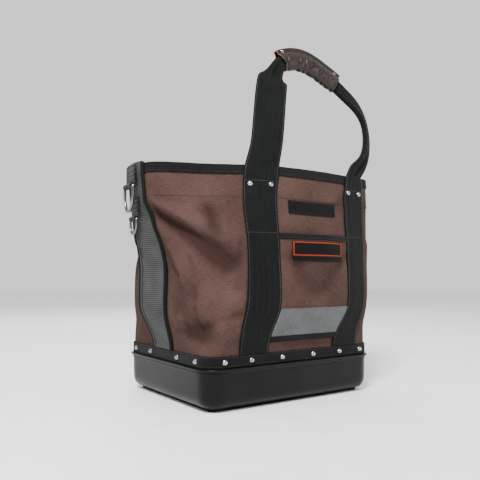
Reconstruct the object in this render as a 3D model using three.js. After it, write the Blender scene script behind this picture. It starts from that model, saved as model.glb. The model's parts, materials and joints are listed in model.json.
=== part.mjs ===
// Open top tool tote: a fabric bag riveted to a moulded tray, with webbing straps and leather grips.
// Millimetres, +Z up, X along the front, the front face towards -Y, the tray's foot on z = 0.
import * as THREE from 'three';
import { mergeVertices } from 'three/addons/utils/BufferGeometryUtils.js';

// Tray
const TRAY_LENGTH = 345;
const TRAY_WIDTH = 282;
const TRAY_CORNER = 32;
const TRAY_WALL = 3;
const LIP_HEIGHT = 64;
const LIP_DEPTH = 4;
const WALL_INSET = 3.5;
const BOTTOM_ROUND = 18;
const FOOT_HEIGHT = 5;
const FOOT_INSET = 21;
const WALL_DRAFT = 1.5;
const ROUND_SHELF = 2.5;
const LIP_UNDERCUT = 2;
const LIP_ROUND = 0.8;
const FLANGE_WALL = 2.5;
const FLANGE_RISE = 15;

// Bag
const GAP = 0.3;
const FABRIC = 2;
const LIP_PROUD = 5.5;
const RIM_HEIGHT = 380;
const BINDING_DROP = 17;
const BINDING_WALL = 1.5;
const BAND_RISE = 18;
const BAND_WALL = 1.8;
const SHAPED_ABOVE_BAND = 68;
const COLUMN_SPACING = 32;
const ROW_SPACING = 34;

// Straps, strips and pocket
const WEBBING = 2.4;
const STRAP_WIDTH = 54;
const STRIP_WIDTH = 48;
const PIPING_WIDTH = 6;
const PIPING_RISE = 4.6;
const POCKET_TOP = 262;
const POCKET_FOOT = 97;
const POCKET_WALL = 1.6;
const POCKET_GAPE = 13;
const POCKET_BINDING_DROP = 5;
const POCKET_WEB_FOOT = 106;
const POCKET_WEB_TOP = 148;
const LABEL_WALL = 1;
const LABEL_UPPER_TOP = 322;
const LABEL_UPPER_HEIGHT = 22;
const LABEL_UPPER_LENGTH = 92;
const LABEL_LOWER_TOP = 254;
const LABEL_LOWER_HEIGHT = 32;
const LABEL_LOWER_LENGTH = 98;

// Handles
const HANDLE_RISE = 200;
const FOLD_WIDTH = 22;
const FOLD_WALL = 8;
const GRIP_TALL = 36;
const GRIP_DEEP = 18;
const GRIP_SKIN_GAP = 0.5;
const GRIP_NECK = 0.8;
const GRIP_NECK_SHARE = 0.35;

// Rivets
const RIVET_RADIUS = 4.3;
const RIVET_RISE = 2.6;
const RIVET_SIDES = 8;
const STRAP_RIVET_DROP = 33;
const STRAP_RIVET_OFFSET = 16;

// Rings and their webbing tabs on the left strip
const UPPER_RING = {
  name: 'upper', wire: 5, tabWidth: 33.4, depth: 41, along: -3, below: 37, tabRise: 36,
};
const LOWER_RING = {
  name: 'lower', wire: 4, tabWidth: 20, depth: 25, along: -8, below: 89, tabRise: 38,
};
const TAB_WALL = 1.8;
const TAB_SEAT = 0.3;
const BAR_CLEARANCE = 0.4;
const WIRE_SIDES = 8;

const HALF_LENGTH = TRAY_LENGTH / 2;
const HALF_WIDTH = TRAY_WIDTH / 2;
const BAG_HALF_LENGTH = HALF_LENGTH - LIP_PROUD;
const BAG_HALF_WIDTH = HALF_WIDTH - LIP_PROUD;
const BAG_CORNER = TRAY_CORNER - LIP_PROUD;
const BAG_HEIGHT = RIM_HEIGHT - LIP_HEIGHT;
const BAND_TOP = LIP_HEIGHT + BAND_RISE;
const FABRIC_FOOT = LIP_HEIGHT + GAP * 2;
const FABRIC_TOP = RIM_HEIGHT - BINDING_WALL - GAP;
const BINDING_FOOT = RIM_HEIGHT - BINDING_DROP;
const BINDING_OUT = GAP + BINDING_WALL;

const SIDE_RUN = BAG_HALF_WIDTH - BAG_CORNER;
const FRONT_RUN = 2 * (BAG_HALF_LENGTH - BAG_CORNER);
const CORNER_RUN = (BAG_CORNER * Math.PI) / 2;
const GIRTH = 4 * SIDE_RUN + 2 * FRONT_RUN + 4 * CORNER_RUN;

// The bag's plan section at each height, as shares: heights of the bag's height above the lip, x of
// half the tray's length, y of half its width. "around" is the share of the girth, from the middle
// of the left end by way of the front.
const SECTION_HEIGHTS = [0.146, 0.304, 0.494, 0.652, 0.747, 0.826, 0.889, 1];
const STATIONS = [
  {
    name: 'left end', around: 0,
    x: [-1.055, -1.067, -1.07, -1.13, -1.171, -1.203, -1.223, -1.246],
    y: [0.028, 0.035, 0.035, 0.05, 0.064, 0.078, 0.092, 0.113],
  },
  {
    name: 'left front flank', around: 0.0354,
    x: [-1.026, -1.009, -1.014, -1.09, -1.177, -1.2, -1.206, -1.194],
    y: [-0.27, -0.255, -0.255, -0.241, -0.22, -0.177, -0.156, -0.135],
  },
  {
    name: 'left front corner', around: 0.1111,
    x: [-0.922, -0.887, -0.852, -0.812, -0.777, -0.742, -0.719, -0.684],
    y: [-0.865, -0.801, -0.745, -0.674, -0.589, -0.518, -0.468, -0.44],
  },
  {
    name: 'front left strap', around: 0.1751,
    x: [-0.452, -0.403, -0.399, -0.388, -0.375, -0.346, -0.313, -0.249],
    y: [-0.993, -0.993, -0.972, -0.929, -0.879, -0.823, -0.78, -0.702],
  },
  {
    name: 'front middle', around: 0.2559,
    x: [0.122, 0.174, 0.186, 0.197, 0.22, 0.249, 0.284, 0.348],
    y: [-1, -1.014, -1, -0.965, -0.922, -0.879, -0.844, -0.794],
  },
  {
    name: 'front right strap', around: 0.3367,
    x: [0.699, 0.752, 0.768, 0.788, 0.806, 0.843, 0.875, 0.939],
    y: [-0.993, -0.993, -0.972, -0.936, -0.901, -0.858, -0.816, -0.738],
  },
  {
    name: 'right front corner', around: 0.3889,
    x: [0.951, 0.986, 1.009, 1.049, 1.078, 1.107, 1.136, 1.183],
    y: [-0.879, -0.887, -0.865, -0.837, -0.809, -0.78, -0.745, -0.681],
  },
  {
    name: 'right front flank', around: 0.4461,
    x: [1.038, 1.072, 1.101, 1.159, 1.2, 1.235, 1.264, 1.322],
    y: [-0.44, -0.426, -0.411, -0.39, -0.376, -0.362, -0.355, -0.34],
  },
  {
    name: 'right end', around: 0.5,
    x: [1.055, 1.084, 1.113, 1.183, 1.229, 1.27, 1.304, 1.368],
    y: [0.014, 0.021, 0.028, 0.028, 0.028, 0.028, 0.028, 0.028],
  },
  {
    name: 'right back flank', around: 0.5539,
    x: [1.032, 1.067, 1.096, 1.148, 1.188, 1.223, 1.252, 1.31],
    y: [0.468, 0.468, 0.461, 0.454, 0.44, 0.433, 0.426, 0.411],
  },
  {
    name: 'right back corner', around: 0.6111,
    x: [0.945, 0.974, 0.991, 1.02, 1.043, 1.067, 1.09, 1.125],
    y: [0.887, 0.879, 0.865, 0.844, 0.823, 0.794, 0.766, 0.709],
  },
  {
    name: 'back right strap', around: 0.6633,
    x: [0.696, 0.719, 0.73, 0.748, 0.765, 0.788, 0.817, 0.87],
    y: [0.993, 0.993, 0.979, 0.95, 0.915, 0.879, 0.844, 0.78],
  },
  {
    name: 'back middle', around: 0.7441,
    x: [0.11, 0.139, 0.151, 0.162, 0.186, 0.209, 0.238, 0.29],
    y: [1, 1.007, 1, 0.972, 0.936, 0.901, 0.865, 0.816],
  },
  {
    name: 'back left strap', around: 0.8249,
    x: [-0.464, -0.441, -0.429, -0.417, -0.4, -0.377, -0.348, -0.29],
    y: [0.993, 0.993, 0.979, 0.943, 0.908, 0.865, 0.83, 0.766],
  },
  {
    name: 'left back corner', around: 0.8889,
    x: [-0.91, -0.904, -0.887, -0.864, -0.829, -0.794, -0.759, -0.707],
    y: [0.851, 0.816, 0.78, 0.738, 0.702, 0.667, 0.638, 0.596],
  },
  {
    name: 'left back flank', around: 0.9646,
    x: [-1.096, -1.125, -1.13, -1.165, -1.177, -1.183, -1.183, -1.177],
    y: [0.319, 0.319, 0.319, 0.333, 0.355, 0.369, 0.383, 0.397],
  },
];

// Folds and dents of the fabric. Places are shares of the girth and of the bag's height; width is a
// share of the bag's height and depth a share of half the tray's width, inward where it is negative.
const FOLDS = [
  { name: 'deep fold under the hem', a0: 0.032, h0: 0.75, a1: 0.137, h1: 0.48, width: 0.05, depth: -0.07 },
  { name: 'ridge over the deep fold', a0: 0.026, h0: 0.8, a1: 0.097, h1: 0.66, width: 0.045, depth: 0.04 },
  { name: 'ridge under the deep fold', a0: 0.03, h0: 0.66, a1: 0.07, h1: 0.4, width: 0.05, depth: 0.055 },
  { name: 'hollow by the left strap', a0: 0.112, h0: 0.74, a1: 0.118, h1: 0.57, width: 0.06, depth: -0.03 },
  { name: 'low dimple', a0: 0.065, h0: 0.18, a1: 0.115, h1: 0.15, width: 0.06, depth: -0.05 },
  { name: 'low ridge', a0: 0.052, h0: 0.34, a1: 0.1, h1: 0.27, width: 0.05, depth: 0.03 },
  { name: 'back fold', a0: 0.86, h0: 0.78, a1: 0.95, h1: 0.52, width: 0.06, depth: -0.05 },
  { name: 'right end fold', a0: 0.43, h0: 0.72, a1: 0.49, h1: 0.5, width: 0.06, depth: -0.05 },
  { name: 'back middle dent', a0: 0.72, h0: 0.3, a1: 0.77, h1: 0.45, width: 0.08, depth: -0.04 },
];

// Where the straps and strips sit round the bag
const LEFT_STRIP = 0;
const RIGHT_STRIP = 0.5;
const FRONT_LEFT = 0.1751;
const FRONT_MIDDLE = 0.2559;
const FRONT_RIGHT = 0.3367;
const BACK_RIGHT = 0.6633;
const BACK_LEFT = 0.8249;

const COLOURS = {
  canvas: 0x6a4b43,
  webbing: 0x20241f,
  ribbed: 0x6b6c6b,
  moulded: 0x26272a,
  leather: 0x453831,
  steel: 0xb9bab8,
  ring: 0x77797a,
  trim: 0xb4461f,
};
const finish = (color, roughness, metalness = 0) => () => (
  new THREE.MeshStandardMaterial({ color, roughness, metalness })
);
const canvas = finish(COLOURS.canvas, 0.85);
const webbing = finish(COLOURS.webbing, 0.8);
const ribbed = finish(COLOURS.ribbed, 0.75);
const moulded = finish(COLOURS.moulded, 0.45);
const leather = finish(COLOURS.leather, 0.6);
const steel = finish(COLOURS.steel, 0.3, 1);
const ringSteel = finish(COLOURS.ring, 0.3, 1);
const patch = finish(COLOURS.webbing, 0.7);
const trimmed = finish(COLOURS.trim, 0.7);

const tote = new THREE.Group();

function addMesh(name, geometry, material) {
  const mesh = new THREE.Mesh(geometry, material());
  mesh.name = name;
  tote.add(mesh);
  return mesh;
}

// A closed solid from points and quads or triangles, with shared vertices merged
function solid(points, faces) {
  const positions = [];
  for (const face of faces) {
    for (let i = 1; i + 1 < face.length; i += 1) {
      for (const index of [face[0], face[i], face[i + 1]]) {
        positions.push(points[index].x, points[index].y, points[index].z);
      }
    }
  }
  const geometry = new THREE.BufferGeometry();
  geometry.setAttribute('position', new THREE.Float32BufferAttribute(positions, 3));
  return mergeVertices(geometry, 1e-4);
}

// Rings of equal count joined into a skin, each quad split from its lower corner so that neighbouring
// pieces' facets run parallel; open ends are capped from each ring's first point
function loft(rings, closed = false, turned = false) {
  const count = rings[0].length;
  const points = rings.flat();
  const faces = [];
  const last = closed ? rings.length : rings.length - 1;
  for (let i = 0; i < last; i += 1) {
    const low = i * count;
    const high = ((i + 1) % rings.length) * count;
    for (let j = 0; j < count; j += 1) {
      const next = (j + 1) % count;
      const quad = [low + j, low + next, high + next, high + j];
      if (turned || points[low + next].z < points[low + j].z) quad.push(quad.shift());
      faces.push(quad);
    }
  }
  if (!closed) {
    const cap = (start, flip) => {
      const ring = [...Array(count).keys()].map((j) => start + j);
      return flip ? ring.reverse() : ring;
    };
    faces.push(cap(0, true), cap((rings.length - 1) * count, false));
  }
  return solid(points, faces);
}

// A sheet with thickness: rows of inner and outer points of equal count
function slab(rows) {
  const count = rows[0].inner.length;
  const points = [];
  const inner = [];
  const outer = [];
  for (const row of rows) {
    inner.push(row.inner.map((p) => points.push(p) - 1));
    outer.push(row.outer.map((p) => points.push(p) - 1));
  }
  const faces = [];
  for (let i = 0; i + 1 < rows.length; i += 1) {
    for (let j = 0; j + 1 < count; j += 1) {
      faces.push([outer[i][j], outer[i][j + 1], outer[i + 1][j + 1], outer[i + 1][j]]);
      faces.push([inner[i][j], inner[i + 1][j], inner[i + 1][j + 1], inner[i][j + 1]]);
    }
    const end = count - 1;
    faces.push([inner[i][0], outer[i][0], outer[i + 1][0], inner[i + 1][0]]);
    faces.push([outer[i][end], inner[i][end], inner[i + 1][end], outer[i + 1][end]]);
  }
  const top = rows.length - 1;
  for (let j = 0; j + 1 < count; j += 1) {
    faces.push([inner[0][j], inner[0][j + 1], outer[0][j + 1], outer[0][j]]);
    faces.push([outer[top][j], outer[top][j + 1], inner[top][j + 1], inner[top][j]]);
  }
  return solid(points, faces);
}

// Smooth curve through values at uneven knots, open or periodic
function through(knots, values, at, period = 0) {
  const count = knots.length;
  let x = at;
  if (period) x = ((at % period) + period) % period;
  else x = Math.min(Math.max(at, knots[0]), knots[count - 1]);
  let k = 0;
  while (k + 1 < count && knots[k + 1] <= x) k += 1;
  if (!period) k = Math.min(k, count - 2);
  const index = (j) => (period ? (j + count) % count : Math.min(Math.max(j, 0), count - 1));
  const knot = (j) => knots[index(j)] + (period ? Math.floor(j / count) * period : 0);
  const value = (j) => values[index(j)];
  const slope = (j) => {
    const before = knot(j) - knot(j - 1);
    const after = knot(j + 1) - knot(j);
    if (before <= 0) return (value(j + 1) - value(j)) / after;
    if (after <= 0) return (value(j) - value(j - 1)) / before;
    const rise = ((value(j) - value(j - 1)) / before) * after;
    return (rise + ((value(j + 1) - value(j)) / after) * before) / (before + after);
  };
  const span = knot(k + 1) - knot(k);
  const t = (x - knot(k)) / span;
  const start = (2 * t ** 3 - 3 * t ** 2 + 1) * value(k) + (t ** 3 - 2 * t ** 2 + t) * slope(k) * span;
  return start + (3 * t ** 2 - 2 * t ** 3) * value(k + 1) + (t ** 3 - t ** 2) * slope(k + 1) * span;
}

const smooth = (t) => {
  const s = Math.min(Math.max(t, 0), 1);
  return s * s * (3 - 2 * s);
};

// A point on a rounded rectangle, by the distance from the middle of its left side
function roundedOutline(halfLength, halfWidth, corner, distance) {
  const side = halfWidth - corner;
  const front = 2 * (halfLength - corner);
  const arc = (corner * Math.PI) / 2;
  const girth = 4 * side + 2 * front + 4 * arc;
  let s = ((distance % girth) + girth) % girth;
  const run = (x, y, dx, dy) => ({ straight: [x, y, dx, dy] });
  const bend = (x, y, from) => ({ centre: [x, y, from] });
  const legs = [
    [side, run(-halfLength, 0, 0, -1)],
    [arc, bend(-halfLength + corner, -side, 180)],
    [front, run(-halfLength + corner, -halfWidth, 1, 0)],
    [arc, bend(halfLength - corner, -side, 270)],
    [2 * side, run(halfLength, -side, 0, 1)],
    [arc, bend(halfLength - corner, side, 0)],
    [front, run(halfLength - corner, halfWidth, -1, 0)],
    [arc, bend(-halfLength + corner, side, 90)],
    [side, run(-halfLength, side, 0, -1)],
  ];
  for (const [length, leg] of legs) {
    if (s <= length) {
      if (leg.straight) {
        const [x, y, dx, dy] = leg.straight;
        return new THREE.Vector2(x + dx * s, y + dy * s);
      }
      const [x, y, from] = leg.centre;
      const angle = THREE.MathUtils.degToRad(from + (90 * s) / length);
      return new THREE.Vector2(x + corner * Math.cos(angle), y + corner * Math.sin(angle));
    }
    s -= length;
  }
  return new THREE.Vector2(-halfLength, 0);
}

// The plan outline of the bag at a height
function planPoint(around, z) {
  const height = Math.max((z - LIP_HEIGHT) / BAG_HEIGHT, SECTION_HEIGHTS[0]);
  const knots = STATIONS.map((station) => station.around);
  const column = (axis) => STATIONS.map((station) => through(SECTION_HEIGHTS, station[axis], height));
  const shaped = new THREE.Vector2(
    through(knots, column('x'), around, 1) * HALF_LENGTH,
    through(knots, column('y'), around, 1) * HALF_WIDTH,
  );
  const foot = roundedOutline(BAG_HALF_LENGTH, BAG_HALF_WIDTH, BAG_CORNER, around * GIRTH);
  return foot.lerp(shaped, smooth((z - BAND_TOP) / SHAPED_ABOVE_BAND));
}

function foldDepth(around, z) {
  const height = (z - LIP_HEIGHT) / BAG_HEIGHT;
  const across = GIRTH / BAG_HEIGHT;
  let depth = 0;
  for (const fold of FOLDS) {
    const vx = (fold.a1 - fold.a0) * across;
    const vz = fold.h1 - fold.h0;
    const px = (around - fold.a0) * across;
    const pz = height - fold.h0;
    const length = Math.hypot(vx, vz);
    const along = (px * vx + pz * vz) / length;
    const beside = (px * vz - pz * vx) / length;
    const past = Math.max(0, -along, along - length);
    const shape = Math.exp(-((beside / fold.width) ** 2) - (past / (0.7 * fold.width)) ** 2);
    depth += fold.depth * HALF_WIDTH * shape;
  }
  return depth * smooth((z - BAND_TOP) / (SHAPED_ABOVE_BAND / 2));
}

function outward(around, z) {
  const step = 2 / GIRTH;
  const run = planPoint(around + step, z).sub(planPoint(around - step, z)).normalize();
  return new THREE.Vector2(run.y, -run.x);
}

// A point on the outside of the fabric, or a distance out from it
function skin(around, z, out = 0) {
  const place = planPoint(around, z);
  place.addScaledVector(outward(around, z), out + foldDepth(around, z));
  return new THREE.Vector3(place.x, place.y, z);
}

// Columns and rows that every piece on the fabric shares, so that the facets run parallel
const half = (length) => length / 2 / GIRTH;
const STRIP_EDGE = half(STRIP_WIDTH);
const PIPING_EDGE = STRIP_EDGE + PIPING_WIDTH / GIRTH;
const STRAP_EDGE = half(STRAP_WIDTH);
const POCKET_LEFT = FRONT_LEFT + STRAP_EDGE + GAP * 2 / GIRTH;
const POCKET_RIGHT = FRONT_RIGHT - STRAP_EDGE - GAP * 2 / GIRTH;

function spread(marks, longest) {
  const lines = [];
  for (let i = 0; i + 1 < marks.length; i += 1) {
    const steps = Math.max(1, Math.round((marks[i + 1] - marks[i]) / longest));
    for (let k = 0; k < steps; k += 1) lines.push(marks[i] + ((marks[i + 1] - marks[i]) * k) / steps);
  }
  lines.push(marks[marks.length - 1]);
  return lines;
}

const bandMarks = (centre, edge) => [centre - edge, centre, centre + edge];
const cornerMarks = (start) => [0, 0.25, 0.5, 0.75, 1].map((share) => (start + share * CORNER_RUN) / GIRTH);
const columnMarks = [
  0, STRIP_EDGE, PIPING_EDGE,
  ...cornerMarks(SIDE_RUN),
  ...bandMarks(FRONT_LEFT, STRAP_EDGE), POCKET_LEFT, POCKET_RIGHT,
  ...bandMarks(FRONT_RIGHT, STRAP_EDGE),
  ...cornerMarks(SIDE_RUN + CORNER_RUN + FRONT_RUN),
  RIGHT_STRIP - PIPING_EDGE, ...bandMarks(RIGHT_STRIP, STRIP_EDGE), RIGHT_STRIP + PIPING_EDGE,
  ...cornerMarks(GIRTH / 2 + SIDE_RUN),
  ...bandMarks(BACK_RIGHT, STRAP_EDGE), ...bandMarks(BACK_LEFT, STRAP_EDGE),
  ...cornerMarks(GIRTH / 2 + SIDE_RUN + CORNER_RUN + FRONT_RUN),
  1 - PIPING_EDGE, 1 - STRIP_EDGE, 1,
];
const COLUMNS = spread(columnMarks, COLUMN_SPACING / GIRTH);
const rowMarks = [
  FABRIC_FOOT, BAND_TOP + GAP, POCKET_FOOT, POCKET_WEB_FOOT, POCKET_WEB_TOP,
  LABEL_LOWER_TOP - LABEL_LOWER_HEIGHT, LABEL_LOWER_TOP, POCKET_TOP,
  LABEL_UPPER_TOP - LABEL_UPPER_HEIGHT, LABEL_UPPER_TOP, RIM_HEIGHT - STRAP_RIVET_DROP,
  BINDING_FOOT, FABRIC_TOP,
];
const ROWS = spread(rowMarks, ROW_SPACING);

const HAIR = 1e-6;
const between = (lines, from, to) => lines.filter((line) => line > from + HAIR && line < to - HAIR);
const columnsFrom = (from, to) => {
  const turns = [-1, 0, 1].flatMap((turn) => COLUMNS.slice(0, -1).map((column) => column + turn));
  return [from, ...between(turns, from, to), to];
};
const rowsFrom = (from, to) => [from, ...between(ROWS, from, to), to];

// How far a piece on the fabric stands off, so that it clears the rim's binding
function standOff(z) {
  return GAP + (BINDING_OUT) * smooth((z - (BINDING_FOOT - STRAP_RIVET_DROP / 2)) / (STRAP_RIVET_DROP / 2));
}

// A patch of sheet on the fabric between two columns and two heights
function patchRows(from, to, low, high, off, wall) {
  const columns = columnsFrom(from, to);
  return rowsFrom(low, high).map((z) => ({
    inner: columns.map((column) => skin(column, z, off(column, z))),
    outer: columns.map((column) => skin(column, z, off(column, z) + wall)),
  }));
}

// A ring all round the bag from a profile of [distance out, height] pairs, clockwise in section
function ringRoundBag(profile) {
  const rings = COLUMNS.slice(0, -1).map((column) => profile.map(([out, z]) => skin(column, z, out)));
  return loft(rings, true);
}

// Tray: rings that follow the bag's foot, from the underside outwards, up, over the lip and inside
function trayRing(inset, z) {
  return COLUMNS.slice(0, -1).map((column) => {
    const place = planPoint(column, LIP_HEIGHT);
    place.addScaledVector(outward(column, LIP_HEIGHT), LIP_PROUD - inset);
    return new THREE.Vector3(place.x, place.y, z);
  });
}

function makeTray() {
  const flangeOut = LIP_PROUD + FABRIC + GAP;
  const flangeIn = flangeOut + FLANGE_WALL;
  const wallIn = WALL_INSET + TRAY_WALL;
  const roundTop = FOOT_HEIGHT + BOTTOM_ROUND;
  const profile = [[FOOT_INSET, 0], [FOOT_INSET, FOOT_HEIGHT]];
  const roundWidth = FOOT_INSET - WALL_INSET - ROUND_SHELF;
  for (const degrees of [0, 35, 65, 90]) {
    const angle = THREE.MathUtils.degToRad(degrees);
    const inset = WALL_INSET + WALL_DRAFT + roundWidth * (1 - Math.sin(angle));
    profile.push([inset, roundTop - BOTTOM_ROUND * Math.cos(angle)]);
  }
  profile.push([WALL_INSET, LIP_HEIGHT - LIP_DEPTH - LIP_UNDERCUT]);
  profile.push([LIP_ROUND, LIP_HEIGHT - LIP_DEPTH]);
  profile.push([0, LIP_HEIGHT - LIP_DEPTH / 2]);
  profile.push([LIP_ROUND, LIP_HEIGHT]);
  profile.push([flangeOut, LIP_HEIGHT]);
  profile.push([flangeOut, LIP_HEIGHT + FLANGE_RISE]);
  profile.push([flangeIn, LIP_HEIGHT + FLANGE_RISE]);
  profile.push([flangeIn, LIP_HEIGHT - LIP_DEPTH]);
  profile.push([wallIn + WALL_DRAFT, roundTop]);
  profile.push([FOOT_INSET, FOOT_HEIGHT + TRAY_WALL]);
  return loft(profile.map(([inset, z]) => trayRing(inset, z)));
}

addMesh('base_tray', makeTray(), moulded);
addMesh('bag_body', ringRoundBag([
  ...ROWS.map((z) => [0, z]),
  ...[...ROWS].reverse().map((z) => [-FABRIC, z]),
].reverse()), canvas);
addMesh('base_band', ringRoundBag([
  [GAP + BAND_WALL, BAND_TOP], [GAP + BAND_WALL, LIP_HEIGHT + GAP * 2],
  [GAP, LIP_HEIGHT + GAP * 2], [GAP, BAND_TOP],
]), webbing);
addMesh('rim_binding', ringRoundBag([
  [GAP, FABRIC_TOP + GAP], [-FABRIC - GAP, FABRIC_TOP + GAP], [-FABRIC - GAP, BINDING_FOOT],
  [-FABRIC - BINDING_OUT, BINDING_FOOT], [-FABRIC - BINDING_OUT, RIM_HEIGHT - 1],
  [-FABRIC - GAP, RIM_HEIGHT], [GAP, RIM_HEIGHT], [BINDING_OUT, RIM_HEIGHT - 1],
  [BINDING_OUT, BINDING_FOOT], [GAP, BINDING_FOOT],
]), webbing);

// Side strips with piping along both edges
for (const [name, centre] of [['left', LEFT_STRIP], ['right', RIGHT_STRIP]]) {
  const low = BAND_TOP + GAP;
  const off = (column, z) => standOff(z);
  const strip = patchRows(centre - STRIP_EDGE, centre + STRIP_EDGE, low, RIM_HEIGHT, off, WEBBING);
  addMesh(`side_strip_${name}`, slab(strip), ribbed);
  const seam = GAP / GIRTH;
  for (const [side, from, to] of [
    ['front', centre + STRIP_EDGE + seam, centre + PIPING_EDGE],
    ['back', centre - PIPING_EDGE, centre - STRIP_EDGE - seam],
  ]) {
    const rings = rowsFrom(low, RIM_HEIGHT).map((z) => {
      const base = standOff(z);
      const middle = (from + to) / 2;
      return [
        skin(from, z, base), skin(to, z, base), skin(to, z, base + PIPING_RISE * 0.6),
        skin(middle, z, base + PIPING_RISE), skin(from, z, base + PIPING_RISE * 0.6),
      ];
    });
    const sideName = name === 'left' ? side : { front: 'back', back: 'front' }[side];
    addMesh(`piping_${name}_${sideName}`, loft(rings.map((ring) => ring.reverse()), false, true), webbing);
  }
}

// Pocket between the front straps: its mouth gapes
function pocketOff(column, z) {
  const u = (column - POCKET_LEFT) / (POCKET_RIGHT - POCKET_LEFT);
  const v = Math.max(0, (z - POCKET_WEB_TOP) / (POCKET_TOP - POCKET_WEB_TOP));
  const across = Math.sin(Math.PI * Math.min(Math.max(u, 0), 1)) ** 0.8;
  return GAP + POCKET_GAPE * across * smooth(v) * 0.95;
}
const overPocket = (column, z) => pocketOff(column, z) + POCKET_WALL + GAP;
addMesh('pocket_panel', slab(
  patchRows(POCKET_LEFT, POCKET_RIGHT, POCKET_FOOT, POCKET_TOP, pocketOff, POCKET_WALL),
), canvas);
addMesh('pocket_webbing', slab(
  patchRows(POCKET_LEFT, POCKET_RIGHT, POCKET_WEB_FOOT + GAP, POCKET_WEB_TOP, overPocket, POCKET_WALL),
), ribbed);
addMesh('pocket_lower_binding', slab(
  patchRows(POCKET_LEFT, POCKET_RIGHT, POCKET_FOOT, POCKET_WEB_FOOT, overPocket, POCKET_WALL),
), webbing);

function makePocketBinding() {
  const foot = POCKET_TOP - POCKET_BINDING_DROP;
  const top = POCKET_TOP + POCKET_BINDING_DROP;
  const rings = columnsFrom(POCKET_LEFT, POCKET_RIGHT).map((column) => {
    const at = (out, z) => skin(column, z, pocketOff(column, Math.min(z, POCKET_TOP)) + out);
    const face = POCKET_WALL + GAP;
    return [
      at(face, POCKET_TOP + GAP), at(-GAP, POCKET_TOP + GAP), at(-GAP, top),
      at(face + BINDING_WALL, top), at(face + BINDING_WALL, foot), at(face, foot),
    ];
  });
  return loft(rings);
}
addMesh('pocket_binding', makePocketBinding(), webbing);

// Two blank patches, each sewn flat on its panel
const labelSpan = (length) => [FRONT_MIDDLE - half(length), FRONT_MIDDLE + half(length)];
addMesh('label_upper', slab(patchRows(
  ...labelSpan(LABEL_UPPER_LENGTH), LABEL_UPPER_TOP - LABEL_UPPER_HEIGHT, LABEL_UPPER_TOP,
  () => GAP, LABEL_WALL,
)), patch);
addMesh('label_lower', slab(patchRows(
  ...labelSpan(LABEL_LOWER_LENGTH), LABEL_LOWER_TOP - LABEL_LOWER_HEIGHT, LABEL_LOWER_TOP,
  overPocket, LABEL_WALL,
)), trimmed);

// Handle routes above the rim, as shares: x of half the tray's length, y of half its width, z of the
// handle's rise above the rim, width between the folded and the full webbing, and the way the face
// looks, in degrees round the plan and of lift.
const FRONT_ROUTE = [
  { x: -0.217, y: -0.713, z: 0.1, open: 1, turn: -115, lift: 0 },
  { x: -0.165, y: -0.672, z: 0.21, open: 1, turn: -122, lift: 0 },
  { x: -0.118, y: -0.634, z: 0.42, open: 1, turn: -127, lift: 0 },
  { x: -0.078, y: -0.603, z: 0.61, open: 1, turn: -125, lift: 0 },
  { x: -0.043, y: -0.578, z: 0.745, open: 1, turn: -121, lift: 0 },
  { x: -0.014, y: -0.56, z: 0.808, open: 0.8, turn: -117, lift: 0 },
  { x: 0.02, y: -0.545, z: 0.855, open: 0.25, turn: -113, lift: 0 },
  { x: 0.062, y: -0.53, z: 0.91, open: 0, turn: -109, lift: 0 },
  { x: 0.125, y: -0.505, z: 0.975, open: 0, turn: -105, lift: 0, grip: 'start' },
  { x: 0.258, y: -0.498, z: 1.014, open: 0, turn: -99, lift: 0 },
  { x: 0.412, y: -0.496, z: 1.026, open: 0, turn: -95, lift: 0 },
  { x: 0.56, y: -0.496, z: 1.004, open: 0, turn: -92, lift: 0 },
  { x: 0.716, y: -0.496, z: 0.957, open: 0, turn: -90, lift: 0 },
  { x: 0.88, y: -0.5, z: 0.9, open: 0, turn: -88, lift: 0, grip: 'end' },
  { x: 1.0, y: -0.525, z: 0.822, open: 0, turn: -83, lift: 0 },
  { x: 1.117, y: -0.55, z: 0.752, open: 0, turn: -75, lift: 0 },
  { x: 1.2, y: -0.58, z: 0.664, open: 0, turn: -66, lift: 0 },
  { x: 1.243, y: -0.612, z: 0.55, open: 0, turn: -60, lift: 0 },
  { x: 1.243, y: -0.647, z: 0.42, open: 0, turn: -60, lift: 0 },
  { x: 1.2, y: -0.69, z: 0.27, open: 0.04, turn: -64, lift: 0 },
  { x: 1.128, y: -0.726, z: 0.16, open: 0.3, turn: -70, lift: 0 },
  { x: 1.045, y: -0.754, z: 0.08, open: 0.75, turn: -76, lift: 0 },
];
const BACK_FALL = [
  { x: 0.867, y: 0.81, z: 0.035, open: 1, turn: 90, lift: 0 },
  { x: 0.862, y: 0.827, z: 0.08, open: 1, turn: 90, lift: -35 },
  { x: 0.856, y: 0.87, z: 0.107, open: 1, turn: 90, lift: -90 },
  { x: 0.85, y: 0.918, z: 0.08, open: 1, turn: 90, lift: -145 },
  { x: 0.842, y: 0.945, z: 0.01, open: 1, turn: 90, lift: -172 },
  { x: 0.82, y: 0.972, z: -0.15, open: 1, turn: 90, lift: -173 },
  { x: 0.79, y: 1.01, z: -0.31, open: 1, turn: 90, lift: -173 },
  { x: 0.76, y: 1.045, z: -0.47, open: 1, turn: 90, lift: -174 },
  { x: 0.735, y: 1.072, z: -0.61, open: 0.9, turn: 90, lift: -178 },
  { x: 0.71, y: 1.088, z: -0.71, open: 0.35, turn: 90, lift: -180 },
  { x: 0.675, y: 1.094, z: -0.785, open: 0, turn: 90, lift: -180 },
  { x: 0.615, y: 1.096, z: -0.825, open: 0, turn: 90, lift: -180, grip: 'start' },
  { x: 0.45, y: 1.096, z: -0.85, open: 0, turn: 90, lift: -180 },
];
const BACK_CENTRE = 0.29;
const mirrored = (section) => ({
  ...section, x: 2 * BACK_CENTRE - section.x, grip: section.grip && 'end',
});
const backMiddle = { ...BACK_FALL[BACK_FALL.length - 1], x: BACK_CENTRE, z: -0.856 };
const BACK_ROUTE = [...BACK_FALL, backMiddle, ...[...BACK_FALL].reverse().map(mirrored)];

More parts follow.
